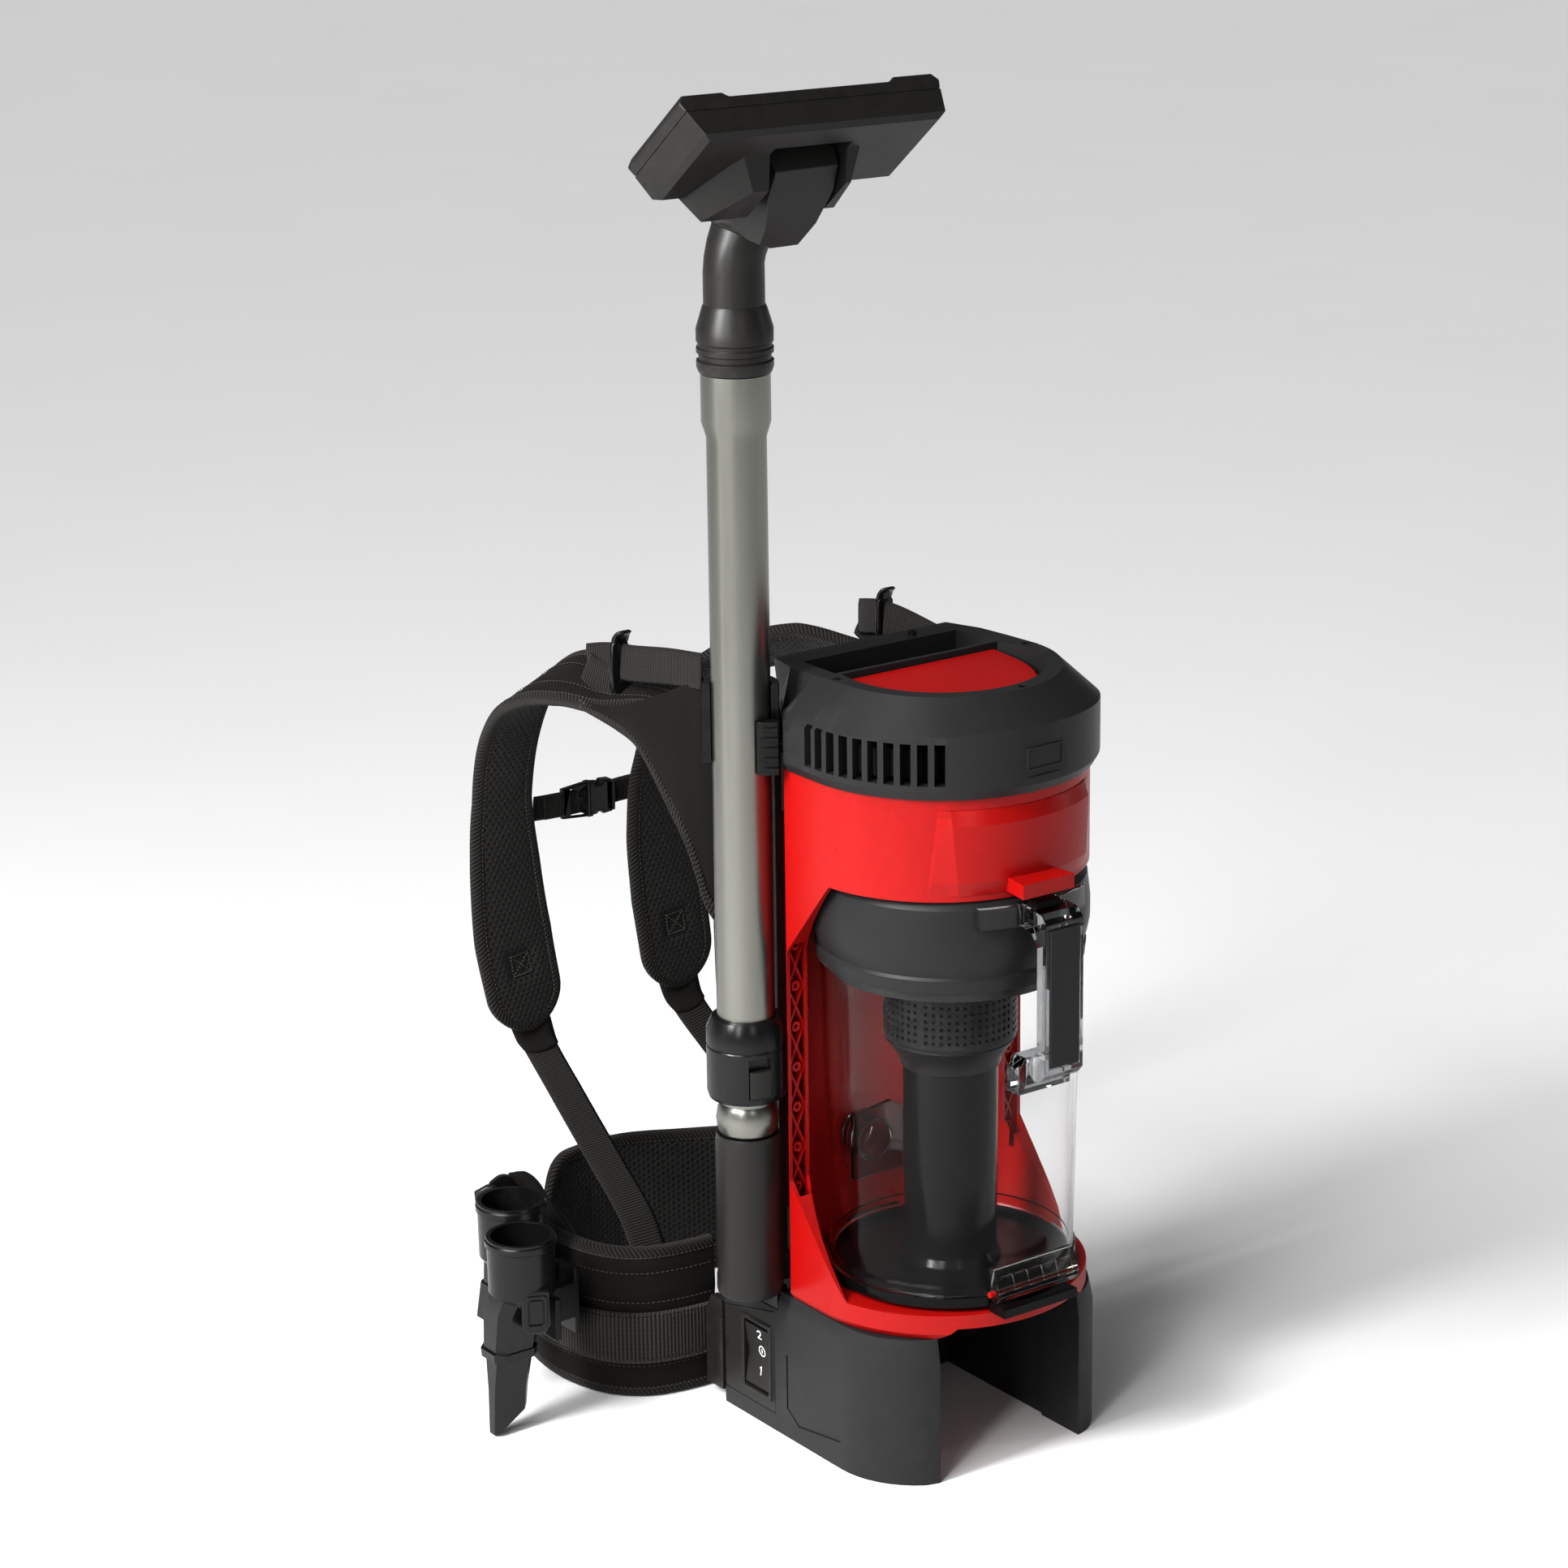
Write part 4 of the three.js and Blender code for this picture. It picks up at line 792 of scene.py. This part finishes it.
# ------------------------------------------------------------------ soft parts
SHOULDER_HALF = [9, 13, 19, 24, 24, 22, 22, 27, 30, 29, 27]
SHOULDER_ROLL = [0.35, 0.45, 0.5, 0.7, 0.5, 0.15, 0, 0, 0, 0, 0]
SHOULDER_TURN = [0, 0, 0, 0, 0.15, 0.15, 0.06, 0, 0, 0, 0]
SHOULDER = {
    "left": [(-97, 132, 484), (-101, 176, 485), (-105, 216, 480), (-112, 262, 482), (-115, 306, 463),
             (-113, 341, 423), (-112, 356, 372), (-110, 358, 322), (-108, 354, 272), (-103, 349, 228),
             (-101, 346, 206)],
    "right": [(97, 132, 478), (101, 176, 479), (103, 214, 474), (82, 258, 474), (56, 302, 460),
              (33, 340, 426), (19, 354, 376), (18, 354, 326), (21, 350, 280), (25, 347, 236), (27, 346, 210)],
}
WING = {"left": [(-86, 146), (-110, 148), (-134, 155), (-152, 172), (-163, 205), (-162, 245), (-150, 285)],
        "right": [(86, 146), (99, 176), (99, 214), (86, 252), (54, 288), (8, 315), (-38, 336), (-88, 332),
                  (-108, 322)]}
LIFTER = [(108.6, 112, 519), (108.6, 150, 514), (108.6, 190, 507), (108.6, 212, 504), (110, 228, 501),
          (112.5, 240, 498)]
BUCKLE_WEB = {"left": [(-159.3, 281), (-157.9, 288), (-151, 297), (-140, 302), (-134, 305.5)],
              "right": [(-90, 341), (-101, 337), (-113, 329), (-124, 315), (-130, 308.5)]}
LIFTER_TAIL = [(113.5, 240.5, 495), (113.6, 234, 492), (112.4, 224, 490), (111, 212, 489)]
WEB_LOW = [(97, 104, 340), (104, 112, 356), (108, 118, 378), (110.6, 126, 399), (112.5, 143, 421),
           (114.5, 160, 443), (115, 176, 457), (117.5, 195, 464), (122, 214, 469.5), (124.5, 227, 472)]
WEB_HIGH = [(99, 104, 521), (107, 112, 518), (109, 124, 512), (112, 136, 505), (116, 152, 497),
            (120, 168, 490), (122, 182, 484), (123, 198, 479), (124.5, 214, 476), (125, 228, 475)]
SIDES = {"left": (-1, 0), "right": (1, 6)}    # sign in X, and how much lower that side hangs
LOWER = {"left": [(-100, 351, 214), (-97, 345, 196), (-102, 300, 170), (-109, 240, 138), (-114, 194, 112),
                  (-116, 176, 92)],
         "right": [(27, 351, 218), (29, 345, 200), (36, 305, 166), (48, 258, 130), (60, 222, 104),
                   (66, 208, 90)]}
STERNUM = [(-84, 360, 359), (-64, 360, 358), (-40, 360, 358), (-12, 360, 360), (3, 358.5, 361)]
STERNUM_FOLD = [(-76, 358.2, 359), (-69, 357.8, 359), (-60, 358, 358.6)]
BELT_Z, BELT_HALF = 55.2, 55.0


def shoulder_strip(side, rings=150):
    s = SIDES[side][0]
    stations = [(*p, (1, t * s, -r * s), h, 5.4) for p, h, r, t in
                zip(SHOULDER[side], SHOULDER_HALF, SHOULDER_ROLL, SHOULDER_TURN)]
    return Strip(stations, rings, tip=(0, 26), power=3.2)


def make_shoulder_pad(side):
    strip = shoulder_strip(side)
    total = strip.run[-1]
    patch_at, patch = total - 46, 8.5
    sewn_to = total * 0.5

    def relief(run, x, face):
        groove = 0.0
        if abs(run - patch_at) < patch + 4 and abs(x) < patch + 4:
            groove -= 2.6 * min(1, (patch + 4 - max(abs(run - patch_at), abs(x))) / 4)
        if run < sewn_to and face < 0:
            groove -= 1.3 * math.exp(-((abs(x) - 8) / 1.6) ** 2)
        return groove

    def held(run, x, face):
        sewn = abs(run - patch_at) < patch + 2 and abs(x) < patch + 2
        return sewn or (face < 0 and run < sewn_to and abs(abs(x) - 8) < 1.6)

    name = "shoulder_pad_" + side
    pad(name, strip, (1, 0), relief, held, 4.5, 2.6, 20)
    binding(name, strip, 4.6, 3.9, 0.8)
    for k, w in enumerate((-8, 8)):
        seam(f"{name}_seam_{k}", strip, w / 22, -1, 0.01, 0.49)
    boxed_cross(name + "_patch", strip, patch_at, patch)


def boxed_cross(name, strip, run, half):
    """Square of stitches with a cross in it, on both faces of a pad."""
    i = int(np.argmin(abs(strip.run - run)))
    along = unit(np.gradient(strip.c, axis=0))[i]
    rows = []
    corners = [(-1, -1), (1, -1), (1, 1), (-1, 1), (-1, -1), (1, 1), (1, -1), (-1, 1)]
    for face in (-1, 1):
        height = strip.thick[i] - 1.7
        centre = strip.c[i] + strip.n[i] * face * height
        pts = [centre + (along * a + strip.w[i] * b) * half * 0.86 for a, b in corners]
        fine = [p + (q - p) * k / 8 for p, q in zip(pts, pts[1:]) for k in range(8)]
        rows.append(stitches(fine, [strip.n[i] * face] * len(fine), 2.4, 1.8, 0.2, 0.4))
    new_piece(name, joined(rows), "thread", "pad_fabric")


def make_side_wing(side):
    """Fabric web from the back panel up to the outer edge of the shoulder pad."""
    s, drop = SIDES[side]
    low = [(x * s, y, z - drop * (z > 440)) for x, y, z in WEB_LOW]
    high = [(x * s, y, z - drop) for x, y, z in WEB_HIGH]
    strip = Web(low, high, 64, 2.6)
    name = "side_wing_" + side
    pad(name, strip, (0, 0), None, None, 3.0, 1.8, 22)
    out = strip.n * (s * np.sign(strip.n[:, :1]))
    pipes, rows = [], []
    for inset in (1.2, 7.2):
        pts = strip.low + strip.w * np.minimum(inset, strip.half)[:, None] + out * 1.9
        pts, face = resample(pts, 2, out)
        pipes.append(sweep(pts, face, 2.3, 1.9, 10))
        rows.append(stitches(pts + np.array((0, 0.4, 3.4)) + face * 0.7, face, 3.2, 2.1))
    new_piece(name + "_piping", joined(pipes), "tape", "pad_fabric")
    new_piece(name + "_stitch", joined(rows), "thread", "pad_fabric")


def strap(name, stations, rings, look, *replaced, **shape):
    """A flat strap on the machine."""
    strip = Strip(stations, rings, power=8, **shape)
    band(name, strip, look, "webbing", *replaced)
    return strip


def make_straps():
    leaning, lying, upright = (0.12, 0, 1), (0.94, -0.34, 0), (0, 0, 1)
    for side, (s, drop) in SIDES.items():
        sag = lambda y: 24 * max(0, 200 - y) / 88 if s > 0 else 0
        stations = [(x * s, y, z - drop - sag(y), leaning, 12.4, 0.8) for x, y, z in LIFTER]
        strap(f"lifter_web_{side}", stations, 90, "web", f"lifter_strap_{side}")
        stations = [(x * s, y, z - drop, leaning, 11.6, 0.8) for x, y, z in LIFTER_TAIL]
        strap(f"lifter_tail_{side}", stations, 24, "web")
        stations = [(*q, lying, 12.2, 0.8) for q in LOWER[side]]
        strap(f"lower_web_{side}", stations, 90, "web", f"lower_strap_{side}")
        end, first, second = map(np.array, LOWER[side][:3])
        last = first * 0.75 + second * 0.25
        stations = [(*q, lying, half, 1.6) for q, half in ((end, 15), (first, 14), (last, 12.8))]
        band(f"tip_tab_{side}", Strip(stations, 26, tip=(0, 5), power=5), "cloth", "pad_fabric")
    strap("sternum_web", [(*q, upright, 9, 0.8) for q in STERNUM], 40, "web", "sternum_strap")
    strap("sternum_fold", [(*q, upright, 9.2, 0.8) for q in STERNUM_FOLD], 20, "web", tip=(0, 2))
    for side, path in BUCKLE_WEB.items():
        strap(f"buckle_web_{side}", [(x, y, 55, upright, 14.5, 0.9) for x, y in path], 30, "band")
    belt = strap("belt_web", [(x, y, 46, upright, 19, 0.9) for x, y in WING["left"]], 120, "band",
                 "belt_webbing", offset=-8.0)
    for z in (-17.2, 17.2):
        seam(f"belt_web_stitch_{int(z + 20)}", belt, z / 19, -1, 0.02, 0.98, "webbing")


def make_belt_wing(side):
    turns = 130 if side == "right" else 90
    stations = [(x, y, BELT_Z, (0, 0, 1), BELT_HALF - 1.5, 5.2) for x, y in WING[side]]
    strip = Strip(stations, turns, tip=(0, 30), power=5)
    inner = 1 if side == "left" else -1

    sewn = (16, -32, 38)

    def relief(run, x, face):
        if face == inner:
            return -1.4 * math.exp(-((x - 38) / 2) ** 2)
        return -1.3 * sum(math.exp(-((x - z) / 1.4) ** 2) for z in sewn)

    def held(run, x, face):
        return any(abs(x - z) < 1.8 for z in (sewn[2:] if face == inner else sewn))

    name = "belt_wing_" + side
    sides = (1, 0) if inner > 0 else (0, 1)
    pad(name, strip, sides, relief, held, 4.0, 2.2, 30)
    binding(name, strip, 4.6, 3.4)
    for z in sewn:
        seam(f"{name}_seam_{z + 40}", strip, z / BELT_HALF, -inner, 0.02, 0.93)


def make_back_pads():
    """Quilted pads for the back, split by grooves."""
    middle, lumbar_split, wide = 16, 30, 4.5
    cuts = (60, 120, 180)
    dip = lambda distance: math.exp(-(distance / wide) ** 2)

    def relief(run, x, face):
        if face > 0:
            return 0.0
        channel = sum(dip(run - c) for c in cuts if abs(x) > middle)
        return -4.5 * channel - 5.5 * dip(abs(x) - middle)

    def held(run, x, face):
        across = abs(x) > middle and any(abs(run - c) < 3 for c in cuts)
        return face < 0 and (abs(abs(x) - middle) < 3 or across)

    stations = [(0, 127, z, (1, 0, 0), h, 13.5) for z, h in
                ((470, 84), (440, 90), (400, 91), (350, 91), (300, 90), (262, 87), (232, 74))]
    back = Strip(stations, 90, tip=(12, 12), power=4)
    pad("back_pad", back, (0, 1), relief, held, 4.5, 4, 36)
    binding("back_pad", back, 5, 5, 0.4)

    def lumbar_relief(run, x, face):
        return -4.5 * dip(abs(x) - lumbar_split) if face < 0 else 0.0

    def lumbar_held(run, x, face):
        return face < 0 and abs(abs(x) - lumbar_split) < 3

    stations = [(0, 137, z, (1, 0, 0), 84, 9) for z in (128, 110, 90, 60, 30, 8)]
    lumbar = Strip(stations, 50, tip=(8, 8), power=4)
    pad("lumbar_pad", lumbar, (0, 1), lumbar_relief, lumbar_held, 4.5, 4, 32)
    binding("lumbar_pad", lumbar, 4.5, 4.5, 0.4)


# ------------------------------------------------------------------ small parts
def make_shroud():
    """Perforated cylinder over the intake tube, on the canister's axis."""
    radius, wall, pitch_z, low = 44.0, 2.2, 4.93, 287.6
    groups, per_group, rows = 4, 13, 9
    pitch = 360 / (groups * (per_group + 0.5))
    hole = 1.35
    verts, faces, index = [], [], {}

    def vert(angle, z, r):
        key = (round(angle * 1000), round(z * 1000), round(r * 1000))
        if key not in index:
            a = math.radians(angle)
            index[key] = len(verts)
            verts.append(at(r * math.cos(a), CAN_Y + r * math.sin(a), z))
        return index[key]

    def cell_of(a0, a1, z0, z1, holed):
        am, zm = (a0 + a1) / 2, (z0 + z1) / 2
        rim = [(a1, zm), (a1, z1), (am, z1), (a0, z1), (a0, zm), (a0, z0), (am, z0), (a1, z0)]
        outer = [vert(a, z, radius) for a, z in rim]
        if not holed:
            faces.append(outer)
            return
        spread = math.degrees(hole / radius)
        turn = [math.radians(45 * k) for k in range(8)]
        edge, deep = ([vert(am + spread * math.cos(t), zm + hole * math.sin(t), r) for t in turn]
                      for r in (radius, radius - wall))
        for k in range(8):
            n = (k + 1) % 8
            faces.append((outer[k], outer[n], edge[n], edge[k]))
            faces.append((edge[k], edge[n], deep[n], deep[k]))

    levels = [(low + r * pitch_z, low + (r + 1) * pitch_z) for r in range(rows)]
    for start in (208 + g * 90 for g in range(groups)):
        for c in range(per_group + 1):
            holed = c < per_group
            for z0, z1 in levels:
                cell_of(start + c * pitch, start + (c + 1) * pitch if holed else start + 90, z0, z1, holed)
    band_mesh = build("shroud_band", verts, faces)
    sharpen(band_mesh, 40)
    cone = [(44, 287.6), (44, 285.5), (43, 283.6), (32.4, 271), (31.2, 269), (31, 263.6), (33.2, 263.6),
            (34, 269), (43.2, 282), (41.8, 287.6)]
    low_part = lathe(cone, (0, CAN_Y), 72)
    # A thin near-black sheet just inside the perforated wall: painted shade seen through the holes, standing
    # in for the dark inside of the shroud.
    inner = lathe([(41.4, 286), (41.4, 334), (40.6, 334), (40.6, 286)], (0, CAN_Y), 72)
    top = lathe([(44, 331.9), (59.6, 331.9), (59.6, 334.6), (41.6, 334.6), (41.6, 332)], (0, CAN_Y), 72)
    for m in (low_part, top):
        sharpen(m, 35)
    whole = joined([band_mesh, low_part, top])
    new_piece("shroud_mesh", whole, "sieve", "black_plastic", "shroud", body="canister")
    new_piece("shroud_shade_sheet", inner, "dark", "black_plastic", body="canister")


def make_rocker_marks():
    """Raised printed strokes, 2, stand-by sign and 1, down the rocker's two sloping faces."""
    two = [(-2.1, 1.4), (-1.6, 2.5), (-0.3, 3.0), (1.3, 2.7), (1.9, 1.5), (1.4, 0.3), (-2.0, -2.6),
           (2.3, -2.7)]
    ring = [(3.2 * math.sin(t), 3.7 * math.cos(t)) for t in np.linspace(0, math.tau, 48)]
    one = [(-1.3, 1.7), (0.2, 3.0), (0.2, -2.9)]
    for name, tall, y, z, lines in (("mark_two", 1, 74.4, 63.6, [two]),
                                    ("mark_standby", 1, 73.6, 51.4, [ring, [(0, -1.7), (0, 1.7)]]),
                                    ("mark_one", -1, 74.2, 37.0, [one])):
        lean = tall * 3.0 / 22
        depth = abs(z - 47.2) * 3.0 / 22
        frame_of = basis(at(-95.7 - depth, y, z), (0, -1, 0), (-lean, 0, 1))
        made = []
        for points in lines:
            flat = resample([(u, v, 0.0) for u, v in points], 0.35)
            made.append(sweep(flat, (0, 0, 1), 0.5, 0.15, 8))
            made[-1].transform(Matrix.Translation(-at(0, 0, 0)))
            made[-1].transform(frame_of)
        new_piece(name, joined(made), "print", "black_plastic", body="rocker")


def make_lifter_buckles():
    for side, (s, drop) in SIDES.items():
        outline = [(103, 494), (105, 487), (112, 483), (116, 487), (117, 500), (116, 517), (113, 521),
                   (105, 521), (103, 517)]
        slot = [(106.6, 491.8), (110.8, 491.8), (110.8, 518.2), (106.6, 518.2)]
        shape = [[(x * s, z - drop) for x, z in q] for q in (outline, slot)]
        frame_of = basis(at(0, 207, 0), (1, 0, 0), (0, 0, 1))
        body = plate(shape, 4.4, frame_of, 1.1)
        lever = [(109 * s, y, z - drop, (1, 0, 0), half, 1.5) for y, z, half in
                 ((207, 518, 7), (204, 524, 7), (198.5, 527.5, 6))]
        tab = Strip(lever, 16, tip=(0, 4), power=6)
        mesh, _ = tab.solid(6, 6)
        new_piece(f"lifter_lock_{side}", joined([body, mesh]), "tool", "black_plastic",
                  f"lifter_buckle_{side}")


def make_sternum_buckle():
    """Two-part side-release buckle: sprung arms in a housing."""
    frame_of = basis(at(6, 360, 358.2), (1, 0, 0), (0, 0, 1))
    half = [(-24, 9.5), (-27, 12), (-34, 12.5), (-36, 10.2), (-41, 10.2), (-43, 12.8), (-46.5, 12.8)]
    housing = [(-24, -9.5), *half, *[(x, -y) for x, y in half[:0:-1]]]
    slot = [(-26.4, -9.2), (-26.4, 9.2), (-29.4, 9.2), (-29.4, -9.2)]
    female = plate([housing[::-1], slot], 9.2, frame_of, 1.6)
    half = [(-67, 11), (-56, 12), (-50, 12.6), (-44, 13), (-38, 12.2), (-36.5, 10.6), (-40, 9.6), (-48, 9.4),
            (-53, 7), (-53, 2.6), (-42, 2.2)]
    arms = [(-67, -11), *half, *[(x, -y) for x, y in half[:0:-1]]]
    bar = [(-64.6, -9.2), (-64.6, 9.2), (-61.6, 9.2), (-61.6, -9.2)]
    male = plate([arms[::-1], bar], 4.6, frame_of, 1.0)
    new_piece("sternum_clasp", joined([female, male]), "tool", "black_plastic", "sternum_buckle")


def make_tool_clips():
    """Raised clip on the crevice tool's flank."""
    across = Vector((0.9, -0.43, 0))
    frame_of = basis(at(-231, 142, 96), across, (0, 0, 1))
    out = frame_of.to_3x3().col[2]
    shape = [(-8.5, 15), (8.5, 15), (9.5, 13.5), (9.5, -10.5), (5.5, -16), (-6.5, -16), (-9.5, -11.5),
             (-9.5, 13)]
    block = plate([shape], 13, frame_of, 1.4)
    lift = Matrix.Translation(out * 6.6 * MM)
    ring = plate([round_rect(7.4, 11.6, 2.2), round_rect(5.2, 9.2, 1.4)], 2.2, lift @ frame_of, 0.6)
    panel = plate([round_rect(4.4, 8.4, 1.2)], 2.0, lift @ frame_of, 0.5)
    new_piece("crevice_clip", joined([block, ring, panel]), "tool", "black_plastic", body="crevice_tool")


def make_belt_fold():
    """Fabric gathered over the left belt wing's front end, with an adjuster hanging from it."""
    path = [(-161, 284, 127), (-153, 272, 121), (-150, 252, 111), (-152, 232, 100), (-158, 212, 95),
            (-166, 196, 92)]
    shifts = ((0, 0, 0, 7.5, 5.0), (7, 5, -7, 7.0, 4.5), (-6, -4, -6, 6.5, 4.0), (13, 6, -15, 6.5, 4.2),
              (2, 2, -16, 7.0, 4.0))
    folds = []
    for k, (dx, dy, dz, wide, high) in enumerate(shifts):
        pts = smooth_path([(x + dx + 1.6 * math.sin(i * 1.9 + k), y + dy,
                            z + dz + 1.8 * math.sin(i * 2.3 + 2 * k)) for i, (x, y, z) in enumerate(path)])[0]
        pts = resample(pts, 2)
        swell = 1 + 0.16 * np.sin(np.arange(len(pts)) * 0.33 + k * 2)
        ends = np.sqrt(np.clip(np.minimum(np.arange(len(pts)), np.arange(len(pts))[::-1]) / 5, 0.1, 1))
        folds.append(sweep(pts, (0.8, 0.2, 0.55), wide * swell * ends, high * ends, 14, 2.2))
    new_piece("belt_fold", joined(folds[:3] + folds[4:]), "cloth", "pad_fabric")
    new_piece("belt_fold_tape", folds[3], "tape", "webbing")
    tail = [(-152, 284, 108), (-162, 279, 119), (-176, 271, 127), (-190, 263, 127)]
    strap("belt_tail", [(*q, (0.35, 0.3, 0.9), 8, 1.0) for q in tail], 30, "web", tip=(0, 3))
    frame_of = basis(at(-190, 262, 129), (0.788, -0.616, 0), (0, 0, 1))
    shape = [(-10, -7), (9, -8), (10, -2), (3, 4.5), (-2, 5), (-10.5, 0)]
    new_piece("belt_adjuster", plate([shape], 6, frame_of, 1.4), "satin", "black_plastic")


def make_front_panel():
    """Raised field on the red band, with a tapering facet at each end, and the blank plate on the head."""
    radius, rows, cols = FRAME_R, 12, 48
    lines = []
    for r in range(rows + 1):
        f = r / rows
        z = 406 + 56 * f
        lift = min(1.0, 5 * min(f, 1 - f) + 0.15)
        outer, inner = math.radians(42.5 - 4.5 * f), math.radians(30.5 + 3.0 * f)
        step = math.radians(1.0)
        ring = [(-outer, 0.1), (-outer + step, 0.7 * lift)]
        ring += [(-inner + 2 * inner * c / cols, 3.7 * lift) for c in range(cols + 1)]
        ring += [(outer - step, 0.7 * lift), (outer, 0.1)]
        lines.append([(a, z, radius + h) for a, h in ring])
    n = len(lines[0])
    spots = [spot for line in lines for spot in line]
    spots += [(a, z, radius - 1.2) for a, z, _ in spots]
    verts = [at(r * math.sin(a), FRAME_CY - r * math.cos(a), z) for a, z, r in spots]
    back = n * (rows + 1)
    faces = []
    for r in range(rows):
        for c in range(n - 1):
            a = r * n + c
            faces += [(a, a + 1, a + 1 + n, a + n), (back + a, back + a + n, back + a + n + 1, back + a + 1)]
        faces += [(r * n, (r + 1) * n, back + (r + 1) * n, back + r * n),
                  (r * n + n - 1, back + r * n + n - 1, back + (r + 1) * n + n - 1, (r + 1) * n + n - 1)]
    for c in range(n - 1):
        top = rows * n + c
        faces += [(c, back + c, back + c + 1, c + 1), (top, top + 1, back + top + 1, back + top)]
    mesh = build("front_panel", verts, faces)
    sharpen(mesh, 7)
    new_piece("front_panel", mesh, "red", "red_plastic")
    facing = Vector((0.03, -1, 0))
    frame_of = basis(at(4.2, -100.2, 492.7), facing.cross((0, 0, 1)) * -1, (0, 0, 1))
    ring = plate([round_rect(15, 7.5, 1.6), round_rect(13.6, 6.1, 1.2)], 2.6, frame_of, 0.3)
    new_piece("head_plate", ring, "head", "head_grey")


bpy.context.scene.view_settings.view_transform = "Standard"
bpy.context.scene.view_settings.gamma = 0.87
bpy.context.scene.view_settings.exposure = 0.12
make_camera()
make_stage()
make_hard_parts()
for which in SIDES:
    make_shoulder_pad(which)
    make_side_wing(which)
    make_belt_wing(which)
make_straps()
make_back_pads()
make_shroud()
make_rocker_marks()
make_lifter_buckles()
make_sternum_buckle()
make_tool_clips()
make_belt_fold()
make_front_panel()
